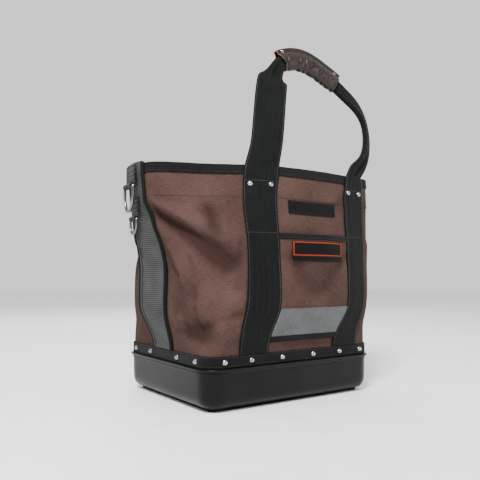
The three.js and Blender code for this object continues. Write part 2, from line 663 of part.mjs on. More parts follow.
const REFINE = 2;
const STRAP_ACROSS = [-1, 0, 1];

// The route's sections with their frames: the way along, the face and the side
function routeFrames(route) {
  const knots = route.map((section, i) => i);
  const read = (key, at) => through(knots, route.map((section) => section[key]), at);
  const place = (at) => new THREE.Vector3(
    read('x', at) * HALF_LENGTH, read('y', at) * HALF_WIDTH, RIM_HEIGHT + read('z', at) * HANDLE_RISE,
  );
  const frames = [];
  for (let step = 0; step <= (route.length - 1) * REFINE; step += 1) {
    const at = step / REFINE;
    const along = place(at + 0.05).sub(place(at - 0.05)).normalize();
    const turn = THREE.MathUtils.degToRad(read('turn', at));
    const lift = THREE.MathUtils.degToRad(read('lift', at));
    const looks = new THREE.Vector3(
      Math.cos(turn) * Math.cos(lift), Math.sin(turn) * Math.cos(lift), Math.sin(lift),
    );
    const side = new THREE.Vector3().crossVectors(along, looks).normalize();
    const face = new THREE.Vector3().crossVectors(side, along).normalize();
    const open = Math.min(Math.max(read('open', at), 0), 1);
    const width = FOLD_WIDTH + (STRAP_WIDTH - FOLD_WIDTH) * open;
    const wall = FOLD_WALL + (WEBBING - FOLD_WALL) * Math.min(1, open * 1.6);
    frames.push({ at, centre: place(at), side, face, width, wall });
  }
  return frames;
}

function freeRow(frame) {
  const edge = (t, out) => frame.centre.clone()
    .addScaledVector(frame.side, (t * frame.width) / 2)
    .addScaledVector(frame.face, out);
  return {
    inner: STRAP_ACROSS.map((t) => edge(t, -frame.wall / 2)),
    outer: STRAP_ACROSS.map((t) => edge(t, frame.wall / 2)),
  };
}

function legRows(centre, direction) {
  const rows = rowsFrom(BAND_TOP + GAP, RIM_HEIGHT).map((z) => {
    const columns = columnsFrom(centre - STRAP_EDGE, centre + STRAP_EDGE);
    const row = {
      inner: columns.map((column) => skin(column, z, standOff(z))),
      outer: columns.map((column) => skin(column, z, standOff(z) + WEBBING)),
    };
    if (direction < 0) {
      row.inner.reverse();
      row.outer.reverse();
    }
    return row;
  });
  return direction < 0 ? rows.reverse() : rows;
}

// The leather grip: a closed wrap round the folded webbing, flatter at its stitched upper edge
function gripGeometry(frames) {
  const sides = 12;
  const tallCore = FOLD_WIDTH / 2 + GRIP_SKIN_GAP;
  const deepCore = FOLD_WALL / 2 + GRIP_SKIN_GAP;
  const outline = (frame, tall, deep, square) => {
    const ring = [];
    for (let k = sides; k > 0; k -= 1) {
      const angle = (2 * Math.PI * (k - 0.5)) / sides;
      const c = Math.cos(angle);
      const s = Math.sin(angle);
      const swell = (Math.abs(c) ** square + Math.abs(s) ** square) ** (-1 / square);
      ring.push(frame.centre.clone()
        .addScaledVector(frame.side, c * swell * tall)
        .addScaledVector(frame.face, s * swell * deep));
    }
    return ring;
  };
  const neck = (i) => GRIP_NECK + (1 - GRIP_NECK) * smooth(i / (frames.length * GRIP_NECK_SHARE));
  const outer = frames.map((frame, i) => outline(frame, (neck(i) * GRIP_TALL) / 2, GRIP_DEEP / 2, 2.6));
  const inner = frames.map((frame) => outline(frame, tallCore * 1.08, deepCore * 1.3, 5)).reverse();
  return loft([...outer, ...inner], true);
}

function rivetGeometry(normal, place) {
  const profile = [[0, 0], [1, 0], [1, 0.25], [0.72, 0.75], [0, 1]];
  const points = profile.map(([r, h]) => new THREE.Vector2(r * RIVET_RADIUS, h * RIVET_RISE));
  const geometry = new THREE.LatheGeometry(points, RIVET_SIDES);
  geometry.deleteAttribute('normal');
  geometry.deleteAttribute('uv');
  geometry.applyQuaternion(new THREE.Quaternion().setFromUnitVectors(
    new THREE.Vector3(0, 1, 0), normal.clone().normalize(),
  ));
  geometry.translate(place.x, place.y, place.z);
  const merged = mergeVertices(geometry, 1e-4);
  const index = merged.index.array;
  const kept = [];
  for (let i = 0; i < index.length; i += 3) {
    const [a, b, c] = [index[i], index[i + 1], index[i + 2]];
    if (a !== b && b !== c && a !== c) kept.push(a, b, c);
  }
  merged.setIndex(kept);
  return merged;
}

function rivetOnSkin(name, around, z, out) {
  const place = skin(around, z, out);
  const side = skin(around + 3 / GIRTH, z, out).sub(skin(around - 3 / GIRTH, z, out));
  const rise = skin(around, z + 3, out).sub(skin(around, z - 3, out));
  addMesh(name, rivetGeometry(new THREE.Vector3().crossVectors(side, rise), place), steel);
}

// Both handles: one length of webbing from the band up a leg, through the grip and down the other leg;
// heads tells which face of the webbing the grip's rivets stand on
const HANDLES = [
  { name: 'front', route: FRONT_ROUTE, up: FRONT_LEFT, down: FRONT_RIGHT, heads: 1 },
  { name: 'back', route: BACK_ROUTE, up: BACK_RIGHT, down: BACK_LEFT, heads: -1 },
];
for (const { name, route, up, down, heads } of HANDLES) {
  const frames = routeFrames(route);
  addMesh(`strap_${name}`, slab([
    ...legRows(up, 1), ...frames.map(freeRow), ...legRows(down, -1),
  ]), webbing);
  const start = route.findIndex((section) => section.grip === 'start');
  const end = route.findIndex((section) => section.grip === 'end');
  const held = frames.filter((frame) => frame.at >= start && frame.at <= end);
  addMesh(`grip_${name}`, gripGeometry(held), leather);
  for (const [side, frame] of [['left', held[1]], ['right', held[held.length - 2]]]) {
    const way = frame.face.clone().multiplyScalar(heads);
    const seat = frame.centre.clone().addScaledVector(way, GRIP_DEEP / 2 + GAP);
    addMesh(`grip_rivet_${name}_${side}`, rivetGeometry(way, seat), steel);
  }
  for (const [leg, centre] of [['up', up], ['down', down]]) {
    for (const [side, way] of [['a', -1], ['b', 1]]) {
      const around = centre + (way * STRAP_RIVET_OFFSET) / GIRTH;
      const z = RIM_HEIGHT - STRAP_RIVET_DROP;
      rivetOnSkin(`strap_rivet_${name}_${leg}_${side}`, around, z, standOff(z) + WEBBING + GAP * 2);
    }
  }
}

// Rivets through the band, in rows along the front, back and ends
const FRONT_RIVETS = [-0.806, -0.5275, -0.1855, 0.1855, 0.5275, 0.806];
const END_RIVETS = [-0.723, -0.326, 0.326, 0.723];
function aroundOf(x, y) {
  const across = BAG_HALF_LENGTH - BAG_CORNER;
  const halfGirth = GIRTH / 2;
  if (x === null) return (y < 0 ? -y : GIRTH - y) / GIRTH;
  return (y < 0 ? SIDE_RUN + CORNER_RUN + across + x : halfGirth + SIDE_RUN + CORNER_RUN + across - x) / GIRTH;
}
const rivetHeight = LIP_HEIGHT + BAND_RISE / 2;
FRONT_RIVETS.forEach((share, i) => {
  const x = share * HALF_LENGTH;
  rivetOnSkin(`rivet_front_${i + 1}`, aroundOf(x, -1), rivetHeight, GAP * 2 + BAND_WALL);
  rivetOnSkin(`rivet_back_${i + 1}`, aroundOf(x, 1), rivetHeight, GAP * 2 + BAND_WALL);
});
END_RIVETS.forEach((share, i) => {
  const y = share * HALF_WIDTH;
  rivetOnSkin(`rivet_left_${i + 1}`, aroundOf(null, y), rivetHeight, GAP * 2 + BAND_WALL);
  rivetOnSkin(`rivet_right_${i + 1}`, 0.5 + y / GIRTH, rivetHeight, GAP * 2 + BAND_WALL);
});

// A ring hangs by its straight bar in the loop at the foot of a webbing tab
function addRing(ring) {
  const around = LEFT_STRIP + ring.along / GIRTH;
  const z = RIM_HEIGHT - ring.below;
  const out = outward(around, z + ring.tabRise);
  const angle = Math.atan2(out.y, out.x) - Math.PI;
  const barrel = ring.wire / 2 + BAR_CLEARANCE;
  const wrap = barrel + TAB_WALL;
  let seat = 0;
  for (const height of [0, 0.25, 0.5, 0.75, 1].map((share) => z + share * ring.tabRise)) {
    for (const side of [-1, -0.5, 0, 0.5, 1]) {
      const column = around + (side * ring.tabWidth) / 2 / GIRTH;
      const face = skin(column, height, standOff(height) + WEBBING);
      seat = Math.max(seat, face.x * out.x + face.y * out.y);
    }
  }
  const middle = skin(around, z);
  const stand = seat + GAP + TAB_SEAT + wrap - (middle.x * out.x + middle.y * out.y);
  const bar = new THREE.Vector3(middle.x + out.x * stand, middle.y + out.y * stand, z);
  const shape = new THREE.Shape();
  shape.moveTo(wrap, 0);
  shape.lineTo(wrap, ring.tabRise);
  shape.lineTo(wrap - TAB_WALL, ring.tabRise);
  shape.lineTo(wrap * Math.cos(1.1), wrap * Math.sin(1.1));
  shape.absarc(0, 0, wrap, 1.1, Math.PI * 2, false);
  const hole = new THREE.Path();
  hole.absarc(0, 0, barrel, 0, Math.PI * 2, true);
  shape.holes.push(hole);
  const tab = new THREE.ExtrudeGeometry(shape, { depth: ring.tabWidth, bevelEnabled: false, curveSegments: 7 });
  tab.translate(0, 0, -ring.tabWidth / 2);
  tab.rotateX(Math.PI / 2);
  tab.rotateZ(angle);
  tab.translate(bar.x, bar.y, bar.z);
  tab.deleteAttribute('normal');
  tab.deleteAttribute('uv');
  addMesh(`ring_tab_${ring.name}`, mergeVertices(tab, 1e-4), ribbed);

  const halfBar = ring.tabWidth / 2 + GAP + ring.wire / 2;
  const path = [[-halfBar, 0], [0, 0], [halfBar, 0]];
  const bends = 12;
  for (let k = 1; k < bends; k += 1) {
    const bend = (Math.PI * k) / bends;
    const widen = Math.sin(bend) ** 0.7;
    path.push([halfBar * Math.cos(bend), -ring.depth * widen]);
  }
  const rings = path.map(([y, drop], i) => {
    const [ay, az] = path[(i + path.length - 1) % path.length];
    const [by, bz] = path[(i + 1) % path.length];
    const before = new THREE.Vector2(y - ay, drop - az).normalize();
    const after = new THREE.Vector2(by - y, bz - drop).normalize();
    const along = before.clone().add(after).normalize();
    const stretch = 1 / Math.max(along.dot(after), 0.6);
    const wire = [];
    for (let k = 0; k < WIRE_SIDES; k += 1) {
      const turn = (2 * Math.PI * k) / WIRE_SIDES;
      const beside = (Math.cos(turn) * ring.wire * stretch) / 2;
      const point = new THREE.Vector3((Math.sin(turn) * ring.wire) / 2, y - along.y * beside, drop + along.x * beside);
      wire.push(point.applyAxisAngle(new THREE.Vector3(0, 0, 1), angle).add(bar));
    }
    return wire;
  });
  addMesh(`d_ring_${ring.name}`, loft(rings, true), ringSteel);
}
addRing(UPPER_RING);
addRing(LOWER_RING);

export default tote;
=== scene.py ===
"""Open top tool tote: a canvas bag riveted to a moulded tray, with webbing straps and leather grips.

Metres, +Z up, the pocket side towards -Y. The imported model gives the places. The fabric's surface is
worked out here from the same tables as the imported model, and every piece sewn on it follows it.
"""
import json
import math

import bmesh
import bpy
import numpy as np
from mathutils import Matrix, Vector


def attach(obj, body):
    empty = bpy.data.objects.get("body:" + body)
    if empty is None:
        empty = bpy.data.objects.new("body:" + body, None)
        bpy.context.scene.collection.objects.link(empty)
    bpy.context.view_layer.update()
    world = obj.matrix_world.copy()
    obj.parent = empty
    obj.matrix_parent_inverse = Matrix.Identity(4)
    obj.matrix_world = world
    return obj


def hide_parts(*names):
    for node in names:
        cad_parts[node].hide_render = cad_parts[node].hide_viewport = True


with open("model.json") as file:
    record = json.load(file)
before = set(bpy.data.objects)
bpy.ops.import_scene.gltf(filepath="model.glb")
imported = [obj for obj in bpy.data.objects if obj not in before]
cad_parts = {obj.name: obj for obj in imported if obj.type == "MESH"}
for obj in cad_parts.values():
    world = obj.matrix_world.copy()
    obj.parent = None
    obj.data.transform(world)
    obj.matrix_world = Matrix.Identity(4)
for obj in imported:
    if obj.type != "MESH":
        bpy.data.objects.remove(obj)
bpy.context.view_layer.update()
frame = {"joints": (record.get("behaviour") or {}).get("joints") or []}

MM = 0.001
BODY = "tote"

# Tray
HALF_LENGTH = 172.5 * MM
HALF_WIDTH = 141 * MM
TRAY_CORNER = 32 * MM
LIP_PROUD = 5.5 * MM
LIP_HEIGHT = 64 * MM

# Bag
GAP = 0.3 * MM
FABRIC = 2 * MM
RIM_HEIGHT = 380 * MM
BAND_TOP = 82 * MM
BAND_WALL = 1.8 * MM
SHAPED_ABOVE_BAND = 68 * MM
BINDING_WALL = 1.5 * MM
BINDING_FOOT = 363 * MM
BINDING_OUT = GAP + BINDING_WALL
BINDING_APPROACH = 16.5 * MM
HEM_STITCH = 325 * MM
HEM_STEP = 0.7 * MM
HEM_EASE = 2.5 * MM
RIVET_ROW = 347 * MM

# Webbing
WEBBING = 2.4 * MM
STRAP_WIDTH = 54 * MM
STRIP_WIDTH = 48 * MM
PIPING_WIDTH = 6 * MM

# Pocket and patches
POCKET_TOP = 262 * MM
POCKET_FOOT = 97 * MM
POCKET_WALL = 1.6 * MM
POCKET_GAPE = 13 * MM
POCKET_WEB_FOOT = 106 * MM
POCKET_WEB_TOP = 148 * MM

# Handles
HANDLE_RISE = 200 * MM
FOLD_FLAT = 8 * MM
FOLD_BEND = 13 * MM

BAG_HALF_LENGTH = HALF_LENGTH - LIP_PROUD
BAG_HALF_WIDTH = HALF_WIDTH - LIP_PROUD
BAG_CORNER = TRAY_CORNER - LIP_PROUD
BAG_HEIGHT = RIM_HEIGHT - LIP_HEIGHT
SIDE_RUN = BAG_HALF_WIDTH - BAG_CORNER
FRONT_RUN = 2 * (BAG_HALF_LENGTH - BAG_CORNER)
CORNER_RUN = BAG_CORNER * math.pi / 2
GIRTH = 4 * SIDE_RUN + 2 * FRONT_RUN + 4 * CORNER_RUN

# Shares of the girth, from the middle of the left end by way of the front
LEFT_STRIP = 0.0
RIGHT_STRIP = 0.5
FRONT_LEFT = 0.1751
FRONT_MIDDLE = 0.2559
FRONT_RIGHT = 0.3367
BACK_RIGHT = 0.6633
BACK_LEFT = 0.8249
STRAP_EDGE = STRAP_WIDTH / 2 / GIRTH
STRIP_EDGE = STRIP_WIDTH / 2 / GIRTH
PIPING_EDGE = STRIP_EDGE + PIPING_WIDTH / GIRTH
POCKET_LEFT = FRONT_LEFT + STRAP_EDGE + 2 * GAP / GIRTH
POCKET_RIGHT = FRONT_RIGHT - STRAP_EDGE - 2 * GAP / GIRTH

# The bag's plan section at each height, as shares: heights of the bag's height above the lip, x of half
# the tray's length, y of half its width
SECTION_HEIGHTS = (0.146, 0.304, 0.494, 0.652, 0.747, 0.826, 0.889, 1)
STATIONS = (
    {
        "name": "left end", "around": 0,
        "x": (-1.055, -1.067, -1.07, -1.13, -1.171, -1.203, -1.223, -1.246),
        "y": (0.028, 0.035, 0.035, 0.05, 0.064, 0.078, 0.092, 0.113),
    },
    {
        "name": "left front flank", "around": 0.0354,
        "x": (-1.026, -1.009, -1.014, -1.09, -1.177, -1.2, -1.206, -1.194),
        "y": (-0.27, -0.255, -0.255, -0.241, -0.22, -0.177, -0.156, -0.135),
    },
    {
        "name": "left front corner", "around": 0.1111,
        "x": (-0.922, -0.887, -0.852, -0.812, -0.777, -0.742, -0.719, -0.684),
        "y": (-0.865, -0.801, -0.745, -0.674, -0.589, -0.518, -0.468, -0.44),
    },
    {
        "name": "front left strap", "around": 0.1751,
        "x": (-0.452, -0.403, -0.399, -0.388, -0.375, -0.346, -0.313, -0.249),
        "y": (-0.993, -0.993, -0.972, -0.929, -0.879, -0.823, -0.78, -0.702),
    },
    {
        "name": "front middle", "around": 0.2559,
        "x": (0.122, 0.174, 0.186, 0.197, 0.22, 0.249, 0.284, 0.348),
        "y": (-1, -1.014, -1, -0.965, -0.922, -0.879, -0.844, -0.794),
    },
    {
        "name": "front right strap", "around": 0.3367,
        "x": (0.699, 0.752, 0.768, 0.788, 0.806, 0.843, 0.875, 0.939),
        "y": (-0.993, -0.993, -0.972, -0.936, -0.901, -0.858, -0.816, -0.738),
    },
    {
        "name": "right front corner", "around": 0.3889,
        "x": (0.951, 0.986, 1.009, 1.049, 1.078, 1.107, 1.136, 1.183),
        "y": (-0.879, -0.887, -0.865, -0.837, -0.809, -0.78, -0.745, -0.681),
    },
    {
        "name": "right front flank", "around": 0.4461,
        "x": (1.038, 1.072, 1.101, 1.159, 1.2, 1.235, 1.264, 1.322),
        "y": (-0.44, -0.426, -0.411, -0.39, -0.376, -0.362, -0.355, -0.34),
    },
    {
        "name": "right end", "around": 0.5,
        "x": (1.055, 1.084, 1.113, 1.183, 1.229, 1.27, 1.304, 1.368),
        "y": (0.014, 0.021, 0.028, 0.028, 0.028, 0.028, 0.028, 0.028),
    },
    {
        "name": "right back flank", "around": 0.5539,
        "x": (1.032, 1.067, 1.096, 1.148, 1.188, 1.223, 1.252, 1.31),
        "y": (0.468, 0.468, 0.461, 0.454, 0.44, 0.433, 0.426, 0.411),
    },
    {
        "name": "right back corner", "around": 0.6111,
        "x": (0.945, 0.974, 0.991, 1.02, 1.043, 1.067, 1.09, 1.125),
        "y": (0.887, 0.879, 0.865, 0.844, 0.823, 0.794, 0.766, 0.709),
    },
    {
        "name": "back right strap", "around": 0.6633,
        "x": (0.696, 0.719, 0.73, 0.748, 0.765, 0.788, 0.817, 0.87),
        "y": (0.993, 0.993, 0.979, 0.95, 0.915, 0.879, 0.844, 0.78),
    },
    {
        "name": "back middle", "around": 0.7441,
        "x": (0.11, 0.139, 0.151, 0.162, 0.186, 0.209, 0.238, 0.29),
        "y": (1, 1.007, 1, 0.972, 0.936, 0.901, 0.865, 0.816),
    },
    {
        "name": "back left strap", "around": 0.8249,
        "x": (-0.464, -0.441, -0.429, -0.417, -0.4, -0.377, -0.348, -0.29),
        "y": (0.993, 0.993, 0.979, 0.943, 0.908, 0.865, 0.83, 0.766),
    },
    {
        "name": "left back corner", "around": 0.8889,
        "x": (-0.91, -0.904, -0.887, -0.864, -0.829, -0.794, -0.759, -0.707),
        "y": (0.851, 0.816, 0.78, 0.738, 0.702, 0.667, 0.638, 0.596),
    },
    {
        "name": "left back flank", "around": 0.9646,
        "x": (-1.096, -1.125, -1.13, -1.165, -1.177, -1.183, -1.183, -1.177),
        "y": (0.319, 0.319, 0.319, 0.333, 0.355, 0.369, 0.383, 0.397),
    },
)

# Folds of the canvas, from one place to another. Places are shares of the girth and of the bag's height;
# width is a share of that height and depth a share of half the tray's width, inward where negative.
FOLD_COLUMNS = ("name", "a0", "h0", "a1", "h1", "width", "depth")
FOLDS = (
    ("deep fold under the hem", 0.032, 0.75, 0.137, 0.48, 0.05, -0.07),
    ("ridge over the deep fold", 0.026, 0.8, 0.097, 0.66, 0.045, 0.04),
    ("ridge under the deep fold", 0.03, 0.66, 0.07, 0.4, 0.05, 0.055),
    ("hollow by the left strap", 0.112, 0.74, 0.118, 0.57, 0.06, -0.03),
    ("low dimple", 0.065, 0.18, 0.115, 0.15, 0.06, -0.05),
    ("low ridge", 0.052, 0.34, 0.1, 0.27, 0.05, 0.03),
    ("back fold", 0.86, 0.78, 0.95, 0.52, 0.06, -0.05),
    ("right end fold", 0.43, 0.72, 0.49, 0.5, 0.06, -0.05),
    ("back middle dent", 0.72, 0.3, 0.77, 0.45, 0.08, -0.04),
)

# Smaller creases, in the same columns
CREASES = (
    ("start of the deep fold", 0.034, 0.755, 0.092, 0.61, 0.022, -0.022),
    ("lip over the deep fold", 0.034, 0.81, 0.085, 0.69, 0.02, 0.016),
    ("hollow under the hem", 0.108, 0.775, 0.124, 0.63, 0.026, -0.021),
    ("crest beside the hollow", 0.088, 0.78, 0.1, 0.68, 0.02, 0.014),
    ("crest down the panel", 0.044, 0.56, 0.07, 0.35, 0.022, 0.021),
    ("valley down the panel", 0.073, 0.51, 0.088, 0.26, 0.024, -0.021),
    ("short valley under it", 0.089, 0.27, 0.093, 0.17, 0.016, -0.016),
    ("low valley", 0.044, 0.15, 0.098, 0.12, 0.022, -0.021),
    ("low valley to the strap", 0.093, 0.17, 0.15, 0.24, 0.019, -0.021),
    ("low crest by the strap", 0.118, 0.1, 0.148, 0.14, 0.03, 0.021),
    ("crest above the low valley", 0.05, 0.22, 0.075, 0.2, 0.02, 0.016),
    ("long slack by the strap", 0.146, 0.35, 0.15, 0.6, 0.018, -0.014),
    ("pucker below the hem", 0.045, 0.8, 0.085, 0.79, 0.018, -0.012),
    ("crease from the strip", 0.03, 0.47, 0.06, 0.42, 0.022, -0.016),
    ("crease above the low dimple", 0.04, 0.25, 0.09, 0.33, 0.03, -0.018),
    ("slack by the strap foot", 0.12, 0.15, 0.145, 0.32, 0.04, 0.03),
    ("ridge by the strap", 0.125, 0.62, 0.15, 0.82, 0.05, 0.022),
    ("hollow by the right strap", 0.30, 0.79, 0.32, 0.87, 0.03, -0.015),
    ("ridge at the right corner", 0.372, 0.2, 0.385, 0.6, 0.04, 0.02),
    ("left back slack", 0.93, 0.2, 0.955, 0.55, 0.04, -0.03),
    ("back left ridge", 0.87, 0.35, 0.9, 0.7, 0.05, 0.025),
    ("back pucker", 0.69, 0.75, 0.73, 0.66, 0.03, -0.02),
    ("back low fold", 0.78, 0.2, 0.81, 0.4, 0.04, -0.025),
    ("back right fold", 0.6, 0.35, 0.63, 0.6, 0.045, -0.03),
    ("right end low fold", 0.46, 0.2, 0.44, 0.38, 0.04, -0.025),
    ("right end ridge", 0.53, 0.75, 0.56, 0.5, 0.04, 0.03),
)

# The left strip holds the canvas flat: out to a share of the girth, then less over another
STRIP_HOLDS = 0.02
STRIP_HOLD_FADES = 0.022
FOLD_AT_STRIP = 0.35

# A fold this deep gets the painted shade in full
PAINTED_SHADE_DEPTH = 7 * MM

# Handle routes above the rim: x as a share of half the tray's length, y of half its width, z of the
# handle's rise, how far the webbing is open, and the way its face looks, in degrees round and of lift
ROUTE_COLUMNS = ("x", "y", "z", "open", "turn", "lift")
FRONT_ROUTE = (
    (-0.217, -0.713, 0.1, 1, -115, 0),
    (-0.165, -0.672, 0.21, 1, -122, 0),
    (-0.118, -0.634, 0.42, 1, -127, 0),
    (-0.078, -0.603, 0.61, 1, -125, 0),
    (-0.043, -0.578, 0.745, 1, -121, 0),
    (-0.014, -0.56, 0.808, 0.8, -117, 0),
    (0.02, -0.545, 0.855, 0.25, -113, 0),
    (0.062, -0.53, 0.91, 0, -109, 0),
    (0.125, -0.505, 0.975, 0, -105, 0),
    (0.258, -0.498, 1.014, 0, -99, 0),
    (0.412, -0.496, 1.026, 0, -95, 0),
    (0.56, -0.496, 1.004, 0, -92, 0),
    (0.716, -0.496, 0.957, 0, -90, 0),
    (0.88, -0.5, 0.9, 0, -88, 0),
    (1, -0.525, 0.822, 0, -83, 0),
    (1.117, -0.55, 0.752, 0, -75, 0),
    (1.2, -0.58, 0.664, 0, -66, 0),
    (1.243, -0.612, 0.55, 0, -60, 0),
    (1.243, -0.647, 0.42, 0, -60, 0),
    (1.2, -0.69, 0.27, 0.04, -64, 0),
    (1.128, -0.726, 0.16, 0.3, -70, 0),
    (1.045, -0.754, 0.08, 0.75, -76, 0),
)
BACK_FALL = (
    (0.867, 0.81, 0.035, 1, 90, 0),
    (0.862, 0.827, 0.08, 1, 90, -35),
    (0.856, 0.87, 0.107, 1, 90, -90),
    (0.85, 0.918, 0.08, 1, 90, -145),
    (0.842, 0.945, 0.01, 1, 90, -172),
    (0.82, 0.972, -0.15, 1, 90, -173),
    (0.79, 1.01, -0.31, 1, 90, -173),
    (0.76, 1.045, -0.47, 1, 90, -174),
    (0.735, 1.072, -0.61, 0.9, 90, -178),
    (0.71, 1.088, -0.71, 0.35, 90, -180),
    (0.675, 1.094, -0.785, 0, 90, -180),
    (0.615, 1.096, -0.825, 0, 90, -180),
    (0.45, 1.096, -0.85, 0, 90, -180),
)


def smooth(t):
    """A soft step from 0 to 1"""
    s = np.clip(t, 0.0, 1.0)
    return s * s * (3.0 - 2.0 * s)


def unit(vectors):
    return vectors / np.maximum(np.linalg.norm(vectors, axis=-1, keepdims=True), 1e-12)


def run_along(points):
    """How far along a line each of its points is"""
    return np.concatenate([[0.0], np.cumsum(np.linalg.norm(np.diff(points, axis=0), axis=1))])


def between_rows(rows, at):
    """Rows at places between the rows of a table"""
    i = np.minimum(at.astype(int), len(rows) - 2)
    t = (at - i)[:, None]
    return rows[i] * (1 - t) + rows[i + 1] * t


def curve_through(knots, values, at, period=0.0):
    """Smooth curve through rows of values at uneven knots, open or periodic"""
    knots, values, at = (np.asarray(part, float) for part in (knots, values, at))
    if period:
        knots = np.concatenate([knots[-2:] - period, knots, knots[:3] + period])
        values = np.concatenate([values[-2:], values, values[:3]])
        at = np.mod(at, period)
    at = np.clip(at, knots[0], knots[-1])
    gaps = np.diff(knots)
    wide = gaps.reshape((-1,) + (1,) * (values.ndim - 1))
    rates = np.diff(values, axis=0) / wide
    inner = (rates[:-1] * wide[1:] + rates[1:] * wide[:-1]) / (wide[:-1] + wide[1:])
    slopes = np.concatenate([rates[:1], inner, rates[-1:]])
    k = np.clip(np.searchsorted(knots, at, side="right") - 1, 0, len(gaps) - 1)
    t = ((at - knots[k]) / gaps[k]).reshape(at.shape + (1,) * (values.ndim - 1))
    span = wide[k]
    return (
        (2 * t**3 - 3 * t**2 + 1) * values[k]
        + (t**3 - 2 * t**2 + t) * slopes[k] * span
        + (3 * t**2 - 2 * t**3) * values[k + 1]
        + (t**3 - t**2) * slopes[k + 1] * span
    )


def rounded_outline(half_length, half_width, corner, shares):
    """Points of a rounded rectangle by the share of its girth from the middle of its left side"""
    side, front, arc = half_width - corner, 2 * (half_length - corner), corner * math.pi / 2
    left, right = half_length - corner, half_width - corner
    lengths = [side, arc, front, arc, 2 * side, arc, front, arc, side]
    marks = np.concatenate([[0.0], np.cumsum(lengths)])
    s = np.mod(shares, 1.0) * marks[-1]
    k = np.clip(np.searchsorted(marks, s, side="right") - 1, 0, 8)
    t = s - marks[k]
    x, y = np.zeros_like(s), np.zeros_like(s)
    runs = {
        0: (-half_length, 0, 0, -1), 2: (-left, -half_width, 1, 0), 4: (half_length, -right, 0, 1),
        6: (left, half_width, -1, 0), 8: (-half_length, right, 0, -1),
    }
    for leg, (x0, y0, dx, dy) in runs.items():
        x = np.where(k == leg, x0 + dx * t, x)
        y = np.where(k == leg, y0 + dy * t, y)
    bends = {1: (-left, -right, 180), 3: (left, -right, 270), 5: (left, right, 0), 7: (-left, right, 90)}
    for leg, (x0, y0, start) in bends.items():
        angle = np.radians(start + 90 * t / arc)
        x = np.where(k == leg, x0 + corner * np.cos(angle), x)
        y = np.where(k == leg, y0 + corner * np.sin(angle), y)
    return np.stack([x, y], -1)


# The fabric's outside, worked out once on a fine net of heights and shares of the girth
NET_HEIGHTS = np.arange(60, 390) * MM
NET_COLUMNS = 1600

# The way that the fabric faces is taken over this many columns to either side
NET_TURN = 3
net_around = np.arange(NET_COLUMNS) / NET_COLUMNS


def fold_depths(around, height):
    """How far the folds push the fabric out, inward where negative"""
    depth = np.zeros(np.broadcast(around, height).shape)
    across = GIRTH / BAG_HEIGHT
    for fold in FOLDS + CREASES:
        f = dict(zip(FOLD_COLUMNS, fold))
        vx, vz = (f["a1"] - f["a0"]) * across, f["h1"] - f["h0"]
        px, pz = (around - f["a0"]) * across, height - f["h0"]
        length = math.hypot(vx, vz)
        along, beside = (px * vx + pz * vz) / length, (px * vz - pz * vx) / length
        past = np.maximum(0, np.maximum(-along, along - length))
        shape = np.exp(-((beside / f["width"]) ** 2) - (past / (0.7 * f["width"])) ** 2)
        depth += f["depth"] * HALF_WIDTH * shape
    from_strip = np.abs(np.mod(around + 0.5, 1.0) - 0.5)
    freed = smooth((from_strip - STRIP_HOLDS) / STRIP_HOLD_FADES)
    return depth * (FOLD_AT_STRIP + (1 - FOLD_AT_STRIP) * freed)


def make_net():
    """The plan section, the way that it faces and the depth of its folds, at each height"""
    knots = [station["around"] for station in STATIONS]
    heights = np.clip((NET_HEIGHTS - LIP_HEIGHT) / BAG_HEIGHT, SECTION_HEIGHTS[0], 1.0)
    shaped = []
    for axis, half in (("x", HALF_LENGTH), ("y", HALF_WIDTH)):
        table = np.array([station[axis] for station in STATIONS]).T
        by_height = curve_through(SECTION_HEIGHTS, table, heights)
        shaped.append(curve_through(knots, by_height.T, net_around, 1.0).T * half)
    shaped = np.stack(shaped, -1)
    foot = rounded_outline(BAG_HALF_LENGTH, BAG_HALF_WIDTH, BAG_CORNER, net_around)[None]
    share = smooth((NET_HEIGHTS - BAND_TOP) / SHAPED_ABOVE_BAND)[:, None, None]
    plan = foot * (1 - share) + shaped * share
    run = unit(np.roll(plan, -NET_TURN, 1) - np.roll(plan, NET_TURN, 1))
    out = np.stack([run[..., 1], -run[..., 0]], -1)
    fold = fold_depths(net_around[None], (NET_HEIGHTS[:, None] - LIP_HEIGHT) / BAG_HEIGHT)
    fold *= smooth((NET_HEIGHTS - BAND_TOP) / (SHAPED_ABOVE_BAND / 2))[:, None]
    return plan + out * fold[..., None], out, fold


net_plan, net_out, net_fold = make_net()


def from_net(net, around, z):
    """A value of the net between its points"""
    row = np.clip((z - NET_HEIGHTS[0]) / MM, 0, len(NET_HEIGHTS) - 1.001)
    column = np.mod(around, 1.0) * NET_COLUMNS
    i, j = row.astype(int), column.astype(int) % NET_COLUMNS
    a, b = (row - i), (column - np.floor(column))
    if net.ndim == 3:
        a, b = a[..., None], b[..., None]
    right = (j + 1) % NET_COLUMNS
    low = net[i, j] * (1 - b) + net[i, right] * b
    return low * (1 - a) + (net[i + 1, j] * (1 - b) + net[i + 1, right] * b) * a


def skin(around, z, out=0.0):
    """Points on the outside of the fabric, or a distance out from it"""
    around, z, out = np.broadcast_arrays(*(np.asarray(part, float) for part in (around, z, out)))
    place = from_net(net_plan, around, z) + from_net(net_out, around, z) * out[..., None]
    return np.concatenate([place, z[..., None]], -1)


def stand_off(z):
    """How far a piece on the fabric stands off, so that it clears the rim's binding"""
    return GAP + BINDING_OUT * smooth((z - BINDING_FOOT + BINDING_APPROACH) / BINDING_APPROACH)


